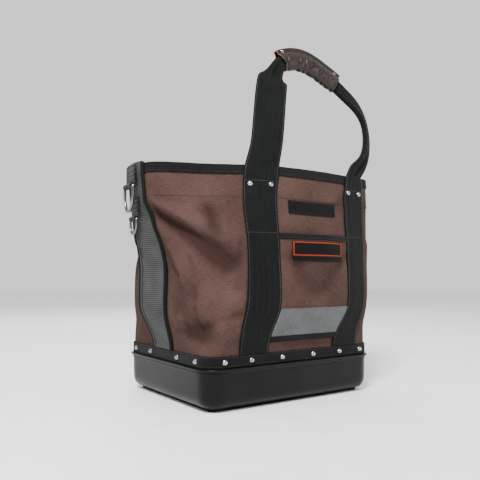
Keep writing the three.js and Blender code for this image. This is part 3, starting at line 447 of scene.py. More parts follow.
def pocket_off(around, z):
    """How far the pocket stands off the walls: it gapes towards its mouth, with a slight sag"""
    u = np.clip((around - POCKET_LEFT) / (POCKET_RIGHT - POCKET_LEFT), 0, 1)
    v = np.maximum(0, (z - POCKET_WEB_TOP) / (POCKET_TOP - POCKET_WEB_TOP))
    sag = 1 + 0.1 * np.sin(u * 9.0 + v * 2.0) * np.sin(math.pi * u)
    return GAP + POCKET_GAPE * np.sin(math.pi * u) ** 0.8 * smooth(v) * 0.95 * sag


# Making pieces

def add_object(name, data):
    thing = bpy.data.objects.new(name, data)
    bpy.context.scene.collection.objects.link(thing)
    return thing


def settle(name, bm, finish, replaces=(), body=BODY, wall=0.0, offset=-1.0, bevel=0.0, rim=None):
    """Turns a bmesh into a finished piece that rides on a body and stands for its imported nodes"""
    mesh = bpy.data.meshes.new(name)
    bm.to_mesh(mesh)
    bm.free()
    piece = add_object(name, mesh)
    mesh.materials.append(finish)
    if rim:
        mesh.materials.append(rim)
    mesh.shade_smooth()
    if wall:
        solid = piece.modifiers.new("wall", "SOLIDIFY")
        solid.thickness = wall
        solid.offset = offset
        solid.use_even_offset = False
        if rim:
            solid.material_offset_rim = 1
    if bevel:
        edge = piece.modifiers.new("edge", "BEVEL")
        edge.width = bevel
        edge.segments = 2
        edge.limit_method = "ANGLE"
        edge.angle_limit = math.radians(50)
    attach(piece, body)
    if replaces:
        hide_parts(*replaces)
    return piece


def moved_grid(across, up, place, size, closed=False):
    """A grid whose corners are moved by place(u, v), with its UV map in metres; u and v run from 0 to 1"""
    bm = bmesh.new()
    bm.loops.layers.uv.new("UVMap")
    bmesh.ops.create_grid(bm, x_segments=across, y_segments=up, size=0.5, calc_uvs=True)
    flat = np.array([vert.co for vert in bm.verts]) + 0.5
    points = place(flat[:, 0], flat[:, 1])
    for vert, point in zip(bm.verts, points):
        vert.co = point
    layer = bm.loops.layers.uv.active
    for face in bm.faces:
        for loop in face.loops:
            u, v = loop[layer].uv
            loop[layer].uv = (u * size[0], v * size[1])
    if closed:
        bmesh.ops.remove_doubles(bm, verts=bm.verts, dist=0.02 * MM)
    return bm


def patch(name, span, heights, off, wall, counts, finish, replaces=()):
    """A sheet sewn on the fabric between two shares of the girth and two heights"""
    (left, right), (low, high) = span, heights

    def place(u, v):
        around, z = left + (right - left) * u, low + (high - low) * v
        return skin(around, z, off(around, z) + wall)

    bm = moved_grid(*counts, place, ((right - left) * GIRTH, high - low))
    return settle(name, bm, finish, replaces, wall=wall, bevel=0.3 * wall)


def corners_of(piece):
    return np.array([vert.co for vert in piece.data.vertices])


def paint_shade_in_hollows(piece, depth, most):
    """Marks how far the canvas is pressed in at each corner, where its finish paints shade"""
    # Painted shade: the deeper the fold, the more the canvas colour is darkened
    hollow = piece.data.attributes.new("hollow", "FLOAT", "POINT")
    hollow.data.foreach_set("value", np.clip(-depth / PAINTED_SHADE_DEPTH, 0, 1) * most)


def normals_of(rows):
    """Outward directions of rows of points, upward rows of rightward points"""
    return unit(np.cross(np.gradient(rows, axis=1), np.gradient(rows, axis=0)))


def pour(few, bm):
    """Moves a few stitches into the mesh that holds them all"""
    mesh = bpy.data.meshes.new("few stitches")
    few.to_mesh(mesh)
    bm.from_mesh(mesh)
    bpy.data.meshes.remove(mesh)
    few.clear()


LONG_STITCH = {"length": 3.2 * MM, "pitch": 4.4 * MM}
FINE_STITCH = {"length": 1.6 * MM, "pitch": 2.4 * MM, "thick": 0.3 * MM}


def stitch_line(bm, points, out, length=2.6 * MM, pitch=3.6 * MM, thick=0.5 * MM):
    """Stitches laid end to end along a line on a surface"""
    few = bmesh.new()
    points, out = np.asarray(points), np.asarray(out)
    marks = run_along(points)
    for at in np.arange(pitch / 2, marks[-1] - pitch / 2, pitch):
        k = min(int(np.searchsorted(marks, at)), len(marks) - 1)
        t = (at - marks[k - 1]) / max(marks[k] - marks[k - 1], 1e-9)
        middle = Vector(points[k - 1] * (1 - t) + points[k] * t)
        along = Vector(points[k] - points[k - 1]).normalized()
        face = Vector(out[k])
        side = face.cross(along).normalized()
        face = along.cross(side)
        turn = Matrix((along, side, face)).transposed().to_4x4()
        size = Matrix.Diagonal((length / 2, thick, thick * 0.8, 1))
        bmesh.ops.create_uvsphere(
            few, u_segments=6, v_segments=3, radius=1.0, matrix=Matrix.Translation(middle) @ turn @ size
        )
        if len(few.verts) > 400:
            pour(few, bm)
    pour(few, bm)
    few.free()


def stitched(name, lines, finish, slot, **more):
    """One piece of all the stitches along some lines"""
    bm = bmesh.new()
    for points, out in lines:
        stitch_line(bm, points, out, **more)
    settle(name, bm, finish)


def skin_line(around, z, out):
    """A line on the fabric and the way that it faces, for stitches"""
    around, z, out = np.broadcast_arrays(*(np.asarray(part, float) for part in (around, z, out)))
    faces = from_net(net_out, around, z)
    return skin(around, z, out), np.concatenate([faces, np.zeros(faces.shape[:-1] + (1,))], -1)


# Finishes

CANVAS_WEAVE = 3.2 * MM
HERRINGBONE_STEP = 4.5 * MM
WARP_PITCH = 1.7 * MM


class Finish:
    """A material and the nodes that make its pattern"""

    def __init__(self, name, roughness, metallic=0.0, sheen=0.0, specular=0.5):
        self.material = bpy.data.materials.new(name)
        self.material.use_nodes = True
        self.nodes = self.material.node_tree.nodes
        self.links = self.material.node_tree.links
        self.shader = self.nodes["Principled BSDF"]
        values = {"Roughness": roughness, "Metallic": metallic, "Sheen Weight": sheen}
        for key, value in {**values, "Specular IOR Level": specular}.items():
            self.shader.inputs[key].default_value = value
        self.heights = []

    def math(self, operation, first, second=None):
        """A sum or the like of numbers or sockets"""
        node = self.nodes.new("ShaderNodeMath")
        node.operation = operation
        for socket, value in zip(node.inputs, (first, second)):
            if value is None:
                continue
            if isinstance(value, (int, float)):
                socket.default_value = value
            else:
                self.links.new(value, socket)
        return node.outputs[0]

    def cloth_place(self):
        """Metres across and along the piece, from its UV map"""
        place = self.nodes.new("ShaderNodeUVMap").outputs[0]
        parts = self.nodes.new("ShaderNodeSeparateXYZ")
        self.links.new(place, parts.inputs[0])
        return parts.outputs[0], parts.outputs[1], place

    def solid_place(self):
        return self.nodes.new("ShaderNodeTexCoord").outputs["Object"]

    def ribs(self, place, period):
        """A sine wave from -1 to 1"""
        return self.math("SINE", self.math("MULTIPLY", place, 2 * math.pi / period))

    def noise(self, place, scale, detail=3.0, stretch=None):
        if stretch:
            mapping = self.nodes.new("ShaderNodeMapping")
            mapping.inputs["Scale"].default_value = stretch
            self.links.new(place, mapping.inputs[0])
            place = mapping.outputs[0]
        node = self.nodes.new("ShaderNodeTexNoise")
        node.inputs["Scale"].default_value = scale
        node.inputs["Detail"].default_value = detail
        self.links.new(place, node.inputs["Vector"])
        return node.outputs[0]

    def blend(self, share, first, second):
        """A colour between two others, which are colours or sockets"""
        node = self.nodes.new("ShaderNodeMix")
        node.data_type = "RGBA"
        self.links.new(share, node.inputs[0])
        for socket, value in ((node.inputs[6], first), (node.inputs[7], second)):
            if isinstance(value, tuple):
                socket.default_value = (*value, 1.0)
            else:
                self.links.new(value, socket)
        return node.outputs[2]

    def spread(self, value, low, high, to_low=0.0, to_high=1.0):
        """A value moved from one range to another"""
        node = self.nodes.new("ShaderNodeMapRange")
        self.links.new(value, node.inputs[0])
        for index, number in zip(range(1, 5), (low, high, to_low, to_high)):
            node.inputs[index].default_value = number
        return node.outputs[0]

    def colour(self, value):
        self.links.new(value, self.shader.inputs["Base Color"])

    def roughness(self, value):
        self.links.new(value, self.shader.inputs["Roughness"])

    def relief(self, value, distance, strength=1.0):
        """Adds a bump of this height to those before it"""
        bump = self.nodes.new("ShaderNodeBump")
        bump.inputs["Distance"].default_value = distance
        bump.inputs["Strength"].default_value = strength
        self.links.new(value, bump.inputs["Height"])
        if self.heights:
            self.links.new(self.heights[-1], bump.inputs["Normal"])
        self.heights.append(bump.outputs[0])
        self.links.new(bump.outputs[0], self.shader.inputs["Normal"])


def canvas_finish():
    """A plain weave with slubs and blotches, with shade painted where it is pressed in"""
    f = Finish("brown canvas", 0.85, specular=0.05)
    u, v, place = f.cloth_place()
    weave = f.math("MULTIPLY", f.ribs(u, CANVAS_WEAVE), f.ribs(v, CANVAS_WEAVE))
    slub = f.noise(place, 130, 2.0, (1, 6, 1))
    blotch = f.noise(place, 14, 3.0)
    share = f.spread(f.math("ADD", f.math("MULTIPLY", weave, 0.42), f.math("ADD", slub, blotch)), 0.45, 1.6)
    base = f.blend(share, (0.018, 0.0096, 0.0078), (0.090, 0.0515, 0.0436))
    # Painted shade: the hollow attribute blends the colour towards a dark brown in the folds
    hollow = f.nodes.new("ShaderNodeAttribute")
    hollow.attribute_name = "hollow"
    f.colour(f.blend(hollow.outputs["Fac"], base, (0.0150, 0.0066, 0.0050)))
    f.relief(weave, 0.35 * MM, 0.7)
    f.relief(blotch, 2.5 * MM, 0.35)
    f.relief(slub, 0.3 * MM, 0.5)
    return f.material


def webbing_finish(name, dark, light, period=2.4 * MM, herringbone=True, specular=0.06, turned=False):
    """Woven tape: ribs along it, slanted one way and the other in turn on the herringbone ones"""
    f = Finish(name, 0.6, sheen=0.02, specular=specular)
    u, v, place = f.cloth_place()
    if turned:
        u, v = v, u
    if herringbone:
        v = f.math("ADD", v, f.math("PINGPONG", u, HERRINGBONE_STEP))
    ribs = f.ribs(v, period)
    warp = f.ribs(u, WARP_PITCH)
    fibre = f.noise(place, 400, 2.0, (4, 1, 1))
    wear = f.noise(place, 28, 3.0)
    mixed = f.math("ADD", f.math("MULTIPLY", ribs, 0.35), f.math("ADD", fibre, wear))
    f.colour(f.blend(f.spread(mixed, 0.4, 1.7), dark, light))
    f.relief(ribs, 0.35 * MM, 0.8)
    f.relief(warp, 0.12 * MM, 0.5)
    f.relief(wear, 1.2 * MM, 0.3)
    return f.material


def leather_finish():
    """Pebbled, glossy where the mottling is dark"""
    f = Finish("brown leather", 0.38, specular=0.3)
    place = f.solid_place()
    grain = f.nodes.new("ShaderNodeTexVoronoi")
    grain.inputs["Scale"].default_value = 650
    f.links.new(place, grain.inputs["Vector"])
    mottled = f.noise(place, 38, 4.0)
    fine = f.noise(place, 220, 3.0)
    share = f.spread(f.math("ADD", mottled, f.math("MULTIPLY", fine, 0.5)), 0.45, 1.05)
    f.colour(f.blend(share, (0.0034, 0.0017, 0.0012), (0.0190, 0.0096, 0.0066)))
    f.roughness(f.spread(mottled, 0.3, 0.7, 0.32, 0.5))
    f.relief(grain.outputs[0], 0.25 * MM, 0.5)
    f.relief(mottled, 1.5 * MM, 0.4)
    return f.material


def plain_finish(name, dark, light, roughness, scale, bump, metallic=0.0, specular=0.5):
    """A finish with a mottled colour and a fine grain"""
    f = Finish(name, roughness, metallic, specular=specular)
    place = f.solid_place()
    mottled = f.noise(place, 20, 3.0)
    grain = f.noise(place, scale, 2.0)
    f.colour(f.blend(f.spread(mottled, 0.3, 0.7), dark, light))
    f.roughness(f.spread(mottled, 0.3, 0.7, roughness - 0.06, roughness + 0.06))
    f.relief(grain, bump, 0.5)
    return f.material


CANVAS = canvas_finish()
BLACK_WEBBING = webbing_finish("black webbing", (0.0010, 0.0013, 0.0011), (0.0062, 0.0076, 0.0064))
BINDING = webbing_finish(
    "black binding", (0.0012, 0.0013, 0.0012), (0.0085, 0.0090, 0.0086), herringbone=False, turned=True,
)
GREY_WEBBING = webbing_finish(
    "grey ribbed webbing", (0.012, 0.0125, 0.012), (0.072, 0.075, 0.073), 3.1 * MM, herringbone=False,
)
GREY_TWILL = webbing_finish("grey twill webbing", (0.030, 0.0305, 0.031), (0.135, 0.138, 0.142), 3.0 * MM)
TAB_WEBBING = webbing_finish(
    "tab webbing", (0.010, 0.011, 0.0105), (0.050, 0.053, 0.050), 2.0 * MM, herringbone=False,
)
CORD = webbing_finish("grey piping cord", (0.02, 0.021, 0.0205), (0.09, 0.093, 0.09), 2.2 * MM)
LEATHER = leather_finish()
RAW_EDGE = plain_finish("raw leather edge", (0.19, 0.085, 0.04), (0.34, 0.17, 0.09), 0.6, 600, 0.2 * MM)
TRAY_PLASTIC = plain_finish(
    "black moulded plastic", (0.0022, 0.0022, 0.0023), (0.0042, 0.0043, 0.0045), 0.33, 1100, 0.04 * MM,
    specular=0.11,
)
NICKEL = plain_finish("nickel", (0.17, 0.167, 0.16), (0.38, 0.375, 0.36), 0.18, 300, 0.05 * MM, 1.0)
RING_METAL = plain_finish("dark nickel", (0.11, 0.11, 0.11), (0.25, 0.25, 0.24), 0.25, 300, 0.05 * MM, 1.0)
DARK_THREAD = plain_finish("dark thread", (0.006, 0.004, 0.0035), (0.014, 0.009, 0.008), 0.7, 900, 0.1 * MM)
GREY_THREAD = plain_finish("grey thread", (0.022, 0.026, 0.023), (0.050, 0.056, 0.050), 0.7, 900, 0.1 * MM)
PATCH_BLACK = webbing_finish(
    "black woven patch", (0.0012, 0.0012, 0.0012), (0.005, 0.005, 0.005), 1.0 * MM, herringbone=False,
)
PATCH_TRIM = webbing_finish(
    "orange-red woven border", (0.16, 0.014, 0.006), (0.36, 0.045, 0.016), 1.0 * MM, herringbone=False,
)


# The canvas walls

def make_bag_walls():
    """One sheet all round, thicker above the hem's stitches"""
    low, high = LIP_HEIGHT + 2 * GAP, RIM_HEIGHT - BINDING_WALL - GAP

    def place(u, v):
        z = low + (high - low) * v
        hem = HEM_STEP * smooth((HEM_STITCH - z) / HEM_EASE)
        return skin(u, z, -hem)

    bm = moved_grid(360, 112, place, (GIRTH, high - low), closed=True)
    piece = settle("bag_walls", bm, CANVAS, ["bag_body"], wall=FABRIC - HEM_STEP)
    # Painted shade in the walls' folds, at most 0.7 of the full dark brown
    paint_shade_in_hollows(piece, depth_near(corners_of(piece)), 0.7)


def depth_near(places):
    """The fold depth of the net's nearest column at each place"""
    depth = np.zeros(len(places))
    rows = np.clip(np.round((places[:, 2] - NET_HEIGHTS[0]) / MM).astype(int), 0, len(NET_HEIGHTS) - 1)
    for row in np.unique(rows):
        here = rows == row
        gaps = np.linalg.norm(places[here, None, :2] - net_plan[row][None, ::4], axis=-1)
        depth[here] = net_fold[row][gaps.argmin(1) * 4]
    return depth


make_bag_walls()


def full_turn(out, z):
    """A line all round at one height"""
    around = np.linspace(0, 1, 700)
    return skin_line(around, np.full_like(around, z), out)


stitched(
    "hem_stitches", [full_turn(0.25 * MM, HEM_STITCH)], DARK_THREAD, "canvas", thick=0.8 * MM, **LONG_STITCH,
)


def make_rim_binding():
    """Tape folded over the rim, its edges inside and outside"""
    half_wall = BINDING_WALL / 2
    inner, outer = -FABRIC - GAP - half_wall, GAP + half_wall
    top = RIM_HEIGHT - half_wall
    profile = (
        (inner, BINDING_FOOT), (inner, top - 2 * MM), (inner * 0.6, top - 0.2 * MM), (-FABRIC / 2, top),
        (outer * 0.4, top - 0.3 * MM), (outer, top - 2 * MM), (outer, BINDING_FOOT),
    )
    marks = np.linspace(0, 1, len(profile))

    def place(u, v):
        path = curve_through(marks, profile, 1 - v)
        wave = 0.25 * MM * np.sin(u * 210) * np.sin(u * 47 + 1)
        return skin(u, path[:, 1] + wave * 0.6, path[:, 0])

    bm = moved_grid(300, 24, place, (GIRTH, 38 * MM), closed=True)
    settle(
        "rim_tape", bm, BINDING, ["rim_binding"], wall=1.2 * MM, offset=0, bevel=0.4 * MM,
    )


make_rim_binding()
stitched(
    "rim_stitches", [full_turn(BINDING_OUT + 0.1 * MM, BINDING_FOOT + 3 * MM)], DARK_THREAD, "black_webbing",
)


def make_base_band():
    """Webbing round the foot of the walls, its face slightly crowned"""
    low, high = LIP_HEIGHT + 2 * GAP, BAND_TOP

    def place(u, v):
        z = low + (high - low) * v + 0.25 * MM * v * np.sin(u * 160)
        return skin(u, z, GAP + BAND_WALL * (0.75 + 0.25 * np.sin(math.pi * v)))

    bm = moved_grid(300, 10, place, (GIRTH, high - low), closed=True)
    settle("foot_band", bm, BINDING, ["base_band"], wall=1.4 * MM, bevel=0.4 * MM)


make_base_band()
band_face = GAP + BAND_WALL
stitched(
    "band_stitches",
    [full_turn(band_face, BAND_TOP - 2 * MM), full_turn(band_face, LIP_HEIGHT + 3.2 * MM)],
    DARK_THREAD, "black_webbing",
)


# Strips up the ends, each with a cord and a tape along both edges

STRIP_TOP = RIM_HEIGHT + 1 * MM
STRIP_TURN = 8 * MM
STRIP_ARCH = 2.2 * MM
STRIP_INSIDE = 22 * MM
STRIP_STITCH_INSET = 2.2 * MM

# The cord's middle and half size, beside the strip and out from the walls, in mm
CORD_BESIDE = 1.3
CORD_HALF_WIDTH = 1.2
CORD_OUT = 2.9
CORD_HALF_DEPTH = 1.3
PIPING_FOOT = 0.4 * MM
PIPING_RISE = 4.6 * MM


def make_side_strip(name, centre):
    """Webbing up the outside, over the rim and a little way down inside"""
    low = BAND_TOP + GAP
    run = RIM_HEIGHT - low
    total = run + STRIP_TURN + STRIP_INSIDE

    def place(u, v):
        around = centre + STRIP_EDGE * (2 * u - 1)
        s = v * total
        face = stand_off(np.minimum(low + s, RIM_HEIGHT)) + WEBBING
        turn = np.clip((s - run) / STRIP_TURN, 0, 1) * math.pi
        past = np.maximum(0, s - run - STRIP_TURN)
        out = np.where(s <= run, face, (face + FABRIC / 2) * np.cos(turn) - FABRIC / 2)
        rise = s * (STRIP_TOP - low) / run
        z = np.where(s <= run, low + rise, STRIP_TOP + STRIP_ARCH * np.sin(turn) - past)
        points = skin(around, np.minimum(z, RIM_HEIGHT + 3 * MM), out)
        points[:, 2] = z
        return points

    bm = moved_grid(16, 120, place, (STRIP_WIDTH, total))
    settle(
        f"{name}_strip", bm, GREY_WEBBING, [f"side_strip_{name}"],
        wall=WEBBING * 0.8, bevel=0.4 * MM,
    )


def make_piping(name, side, inner, outer, way):
    """A grey cord next to the strip, and the black tape that holds it standing proud beside it"""
    low, high = BAND_TOP + GAP, RIM_HEIGHT

    def cord(u, v):
        z = low + (high - low) * v
        beside = CORD_BESIDE + CORD_HALF_WIDTH * np.cos(2 * math.pi * u)
        out = CORD_OUT + CORD_HALF_DEPTH * np.sin(2 * math.pi * u)
        return skin(inner + way * beside * MM / GIRTH, z, stand_off(z) + out * MM)

    def tape(u, v):
        z = low + (high - low) * v
        around = inner + (outer - inner) * (0.30 + 1.1 * u)
        arch = np.sin(math.pi * np.clip(0.15 + 0.85 * u, 0, 1)) ** 0.5
        return skin(around, z, stand_off(z) + PIPING_FOOT + PIPING_RISE * arch)

    bm = moved_grid(12, 110, cord, (11 * MM, high - low), closed=True)
    if way > 0:
        bmesh.ops.reverse_faces(bm, faces=bm.faces)
    settle(f"{name}_{side}_cord", bm, CORD)
    bm = moved_grid(8, 110, tape, (6 * MM, high - low))
    if way < 0:
        bmesh.ops.reverse_faces(bm, faces=bm.faces)
    settle(f"{name}_{side}_piping", bm, BINDING, [f"piping_{name}_{side}"], wall=0.7 * MM)


for strip_name, strip_centre in (("left", LEFT_STRIP), ("right", RIGHT_STRIP)):
    make_side_strip(strip_name, strip_centre)
    sides = ("front", "back") if strip_name == "left" else ("back", "front")
    for side, way in zip(sides, (1, -1)):
        inner = strip_centre + way * (STRIP_EDGE + GAP / GIRTH)
        make_piping(strip_name, side, inner, strip_centre + way * PIPING_EDGE, way)
    heights = np.linspace(BAND_TOP + 2 * MM, RIM_HEIGHT - 1 * MM, 200)
    edge_lines = []
    for way in (1, -1):
        edge = strip_centre + way * (STRIP_EDGE - STRIP_STITCH_INSET / GIRTH)
        edge_lines.append(skin_line(edge, heights, stand_off(heights) + WEBBING))
    stitched(f"{strip_name}_strip_stitches", edge_lines, DARK_THREAD, "ribbed_webbing")


# Pocket on the front between the straps

POCKET_SPAN = (POCKET_LEFT, POCKET_RIGHT)
POCKET_RUN = (POCKET_RIGHT - POCKET_LEFT) * GIRTH
CREASE_FOOT = 150 * MM
CREASE_EASE = 20 * MM


def on_pocket(around, z):
    """How far a piece sewn on the pocket stands off the walls"""
    return pocket_off(around, z) + POCKET_WALL + 0.2 * MM


def pocket_crease(around, z):
    """A V of folds below the patch"""
    u = (around - POCKET_LEFT) / (POCKET_RIGHT - POCKET_LEFT)
    v = (z - POCKET_WEB_TOP) / (POCKET_TOP - POCKET_WEB_TOP)
    lean = (0.62 - v) * 0.55
    left = np.exp(-(((u - 0.18) * 0.9 - lean) / 0.11) ** 2)
    right = np.exp(-(((0.86 - u) * 0.9 - lean) / 0.1) ** 2)
    fade = smooth((v - 0.05) / 0.2) * smooth(v / 0.15) * smooth((0.86 - v) / 0.2)
    return (-3.8 * left - 3.2 * right) * MM * fade * smooth((z - CREASE_FOOT) / CREASE_EASE)


pocket = patch(
    "pocket", POCKET_SPAN, (POCKET_FOOT, POCKET_TOP),
    lambda around, z: pocket_off(around, z) + pocket_crease(around, z),
    POCKET_WALL, (60, 70), CANVAS, ["pocket_panel"],
)
pocket_x, _, pocket_z = corners_of(pocket).T
pocket_ends = [skin(end, pocket_z)[:, 0] for end in POCKET_SPAN]
pocket_share = (pocket_x - pocket_ends[0]) / (pocket_ends[1] - pocket_ends[0])
pocket_depth = pocket_crease(POCKET_LEFT + pocket_share * (POCKET_RIGHT - POCKET_LEFT), pocket_z)
# Painted shade in the pocket's creases, at most half of the full dark brown
paint_shade_in_hollows(pocket, pocket_depth, 0.5)
patch(
    "pocket_grey_band", POCKET_SPAN, (POCKET_WEB_FOOT, POCKET_WEB_TOP), on_pocket,
    POCKET_WALL, (40, 16), GREY_TWILL, ["pocket_webbing"],
)
patch(
    "pocket_foot_tape", POCKET_SPAN, (POCKET_FOOT, POCKET_WEB_FOOT), on_pocket,
    POCKET_WALL, (40, 6), BINDING, ["pocket_lower_binding"],
)


def make_pocket_mouth():
    """Tape folded over the pocket's top edge"""
    top = POCKET_TOP + 4 * MM
    profile = [(-0.8, -5), (-0.8, 2), (0.6, 3.6), (POCKET_WALL / MM + 0.8, 2), (POCKET_WALL / MM + 0.9, -5)]
    marks = np.linspace(0, 1, len(profile))

    def place(u, v):
        path = curve_through(marks, profile, 1 - v) * MM
        around = POCKET_LEFT + (POCKET_RIGHT - POCKET_LEFT) * u
        z = np.minimum(POCKET_TOP + path[:, 1], top)
        return skin(around, z, pocket_off(around, np.minimum(z, POCKET_TOP)) + path[:, 0])

    bm = moved_grid(50, 18, place, (POCKET_RUN, 18 * MM))
    settle("pocket_mouth_tape", bm, BINDING, ["pocket_binding"], wall=1.0 * MM, offset=0)


make_pocket_mouth()
pocket_columns = np.linspace(POCKET_LEFT, POCKET_RIGHT, 160)
pocket_lines = []
for z in (POCKET_WEB_TOP - 1.5 * MM, POCKET_TOP - 3 * MM):
    heights = np.full(160, z)
    face = pocket_off(pocket_columns, heights) + 2 * POCKET_WALL
    pocket_lines.append(skin_line(pocket_columns, heights, face))
stitched("pocket_stitches", pocket_lines, DARK_THREAD, "black_webbing")


# Two blank patches, the lower one with a coloured border

UPPER_PATCH = (300 * MM, 322 * MM)
LOWER_PATCH = (222 * MM, 254 * MM)
UPPER_LENGTH = 92 * MM
LOWER_LENGTH = 98 * MM
PATCH_WALL = 1 * MM
BORDER_LENGTH = 96 * MM
BORDER_WIDTH = 2 * MM
BORDER_FOOT = 231 * MM
BORDER_TOP = 253.4 * MM


def patch_span(length):
    """The ends of a patch, as shares of the girth"""
    return FRONT_MIDDLE - length / 2 / GIRTH, FRONT_MIDDLE + length / 2 / GIRTH


patch(
    "upper_patch", patch_span(UPPER_LENGTH), UPPER_PATCH, lambda around, z: GAP,
    PATCH_WALL, (30, 8), PATCH_BLACK, ["label_upper"],
)
patch(
    "lower_patch", patch_span(LOWER_LENGTH), LOWER_PATCH, on_pocket,
    PATCH_WALL, (30, 10), PATCH_BLACK, ["label_lower"],
)


def border_on_pocket(around, z):
    return on_pocket(around, z) + 0.25 * MM


left, right = patch_span(BORDER_LENGTH)
inner_rows = (BORDER_FOOT + BORDER_WIDTH, BORDER_TOP - BORDER_WIDTH)
for name, span, rows in (
    ("border_top", (left, right), (BORDER_TOP - BORDER_WIDTH, BORDER_TOP)),
    ("border_foot", (left, right), (BORDER_FOOT, BORDER_FOOT + BORDER_WIDTH)),
    ("border_left", (left, left + BORDER_WIDTH / GIRTH), inner_rows),
    ("border_right", (right - BORDER_WIDTH / GIRTH, right), inner_rows),
):
    patch(name, span, rows, border_on_pocket, PATCH_WALL, (24, 4), PATCH_TRIM)

label_lines = []
for length, rows, off in (
    (88 * MM, (302 * MM, 320 * MM), lambda around, z: GAP + PATCH_WALL),
    (94 * MM, (223.5 * MM, 229.8 * MM), lambda around, z: on_pocket(around, z) + PATCH_WALL),
):
    a, b = patch_span(length)
    columns = np.linspace(a, b, 60)
    for z in rows:
        line = np.full(60, z)
        label_lines.append(skin_line(columns, line, off(columns, line)))
stitched("patch_stitches", label_lines, DARK_THREAD, "plain_patch", **FINE_STITCH)


# Straps and grips

# Half the grip's section in mm, from its sewn edge round the tube: along the webbing's width, and out of it.
# The sewn edge ends and the tube begins at minus GRIP_TUBE.
GRIP_SECTION = (
    (-23, 1.2), (-22, 2.6), (-19, 3.0), (-15.5, 3.2), (-13, 4.6), (-10, 7.2), (-5, 8.8), (0, 9.2), (5, 8.8),
    (10, 7.0), (13.4, 4.2), (15, 1.5),
)
GRIP_NECK = 0.8
GRIP_NECK_RUN = 0.35
GRIP_TUBE = 12
GRIP_RIVET_ASIDE = 16.5 * MM
LEG_RIVETS_ASIDE = 16 * MM
CROSS_STITCHES = (352 * MM, 266 * MM)
BACK_CENTRE = 0.29
STRAP_ACROSS = 20

# How the fold of a strap opens out along it, in rows, and the dimple where it does
OPENING_ROWS = 18
OPENING_LEAD = 3
OPENING_SPREAD = 5.5
DIMPLE_DEPTH = 9 * MM
DIMPLE_SHARE = 0.3
SMOOTHINGS = 22
SMOOTHED_PAST_END = 3

# The front strap's left edge is drawn in round half height
DRAWN_SHARE = 0.17
DRAWN_HEIGHT = 225 * MM
DRAWN_REACH = 75 * MM


def back_route():
    """The back handle's fall, and the same mirrored"""
    middle = (BACK_CENTRE, BACK_FALL[-1][1], -0.856, *BACK_FALL[-1][3:])
    other = [(2 * BACK_CENTRE - row[0], *row[1:]) for row in reversed(BACK_FALL)]
    return [*BACK_FALL, middle, *other]


def route_frames(route, steps):
    """Middle, side and face of a free strap, and how far it is open, along its route"""
    table = np.array(route, float)
    knots = np.arange(len(table))
    at = np.linspace(0, len(table) - 1, (len(table) - 1) * steps + 1)

    def place(where):
        row = curve_through(knots, table, where)
        scale = [HALF_LENGTH, HALF_WIDTH, HANDLE_RISE]
        return row[:, :3] * scale + [0, 0, RIM_HEIGHT]

    along = unit(place(at + 0.05) - place(at - 0.05))
    row = dict(zip(ROUTE_COLUMNS, curve_through(knots, table, at).T))
    turn, lift = np.radians(row["turn"]), np.radians(row["lift"])
    looks = np.stack([np.cos(turn) * np.cos(lift), np.sin(turn) * np.cos(lift), np.sin(lift)], -1)
    side = unit(np.cross(along, looks))
    return at, place(at), side, unit(np.cross(side, along)), np.clip(row["open"], 0, 1)


def strap_section(open_share, curl):
    """Across the webbing, its place to the side and to the front: flat, or with both edges curled round"""
    u = np.linspace(-1, 1, STRAP_ACROSS + 1)
    s = np.abs(u) * STRAP_WIDTH / 2
    turn = math.pi * 1.02 * (1 - open_share)
    if turn < 0.02:
        return u * STRAP_WIDTH / 2, np.zeros_like(u)
    radius = FOLD_BEND / turn
    part = np.clip((s - FOLD_FLAT) / FOLD_BEND, 0, 1) * turn
    past = np.maximum(0, s - FOLD_FLAT - FOLD_BEND)
    x = np.minimum(s, FOLD_FLAT) + radius * np.sin(part) + past * math.cos(turn)
    y = radius * (1 - np.cos(part)) + past * math.sin(turn)
    return np.sign(u) * x, -curl * (y - FOLD_BEND / math.pi * (1 - open_share))


def leg_rows(centre, way):
    """Rows of a strap sewn on the bag; its edge away from the pocket draws in at half height"""
    heights = np.arange(BAND_TOP + 0.2 * MM, RIM_HEIGHT, 3 * MM)
    u = np.linspace(-1, 1, STRAP_ACROSS + 1)
    rows = []
    for z in heights:
        drawn = DRAWN_SHARE * math.exp(-(((z - DRAWN_HEIGHT) / DRAWN_REACH) ** 2)) * (centre == FRONT_LEFT)
        across = np.where(u < 0, u * (1 - drawn), u) * way * STRAP_EDGE
        rows.append(skin(centre + across, z, stand_off(z) + WEBBING * 0.5))
    return rows if way > 0 else rows[::-1]


def strap_rows(route, up, down, curl):
    """Rows across the webbing, from the foot of one leg by the grip to the foot of the other"""
    legs_up, legs_down = leg_rows(up, 1), leg_rows(down, -1)
    _, middles, sides, faces, opens = route_frames(route, 7)
    window = np.exp(-((np.arange(-OPENING_ROWS, OPENING_ROWS + 1) - OPENING_LEAD) / OPENING_SPREAD) ** 2)
    opens = np.convolve(np.pad(opens, OPENING_ROWS, mode="edge"), window / window.sum(), mode="valid")
    dimple = np.exp(-((np.linspace(-1, 1, STRAP_ACROSS + 1) / DIMPLE_SHARE) ** 2)) * DIMPLE_DEPTH
    free = []
    for middle, side, face, open_share in zip(middles, sides, faces, opens):
        x, y = strap_section(open_share, curl)
        y = y - curl * dimple * 4 * open_share * (1 - open_share)
        free.append(middle + np.outer(x, side) + np.outer(y, face))
    gap_up = np.linspace(legs_up[-1], free[0], 8)[1:-1]
    gap_down = np.linspace(free[-1], legs_down[0], 8)[1:-1]
    rows = np.array([*legs_up, *gap_up, *free, *gap_down, *legs_down])
    first, last = len(legs_up) - SMOOTHED_PAST_END, len(rows) - len(legs_down) + SMOOTHED_PAST_END
    for _ in range(SMOOTHINGS):
        middle = rows[first:last]
        rows[first:last] = 0.5 * middle + 0.25 * (rows[first - 1:last - 1] + rows[first + 1:last + 1])
    return rows


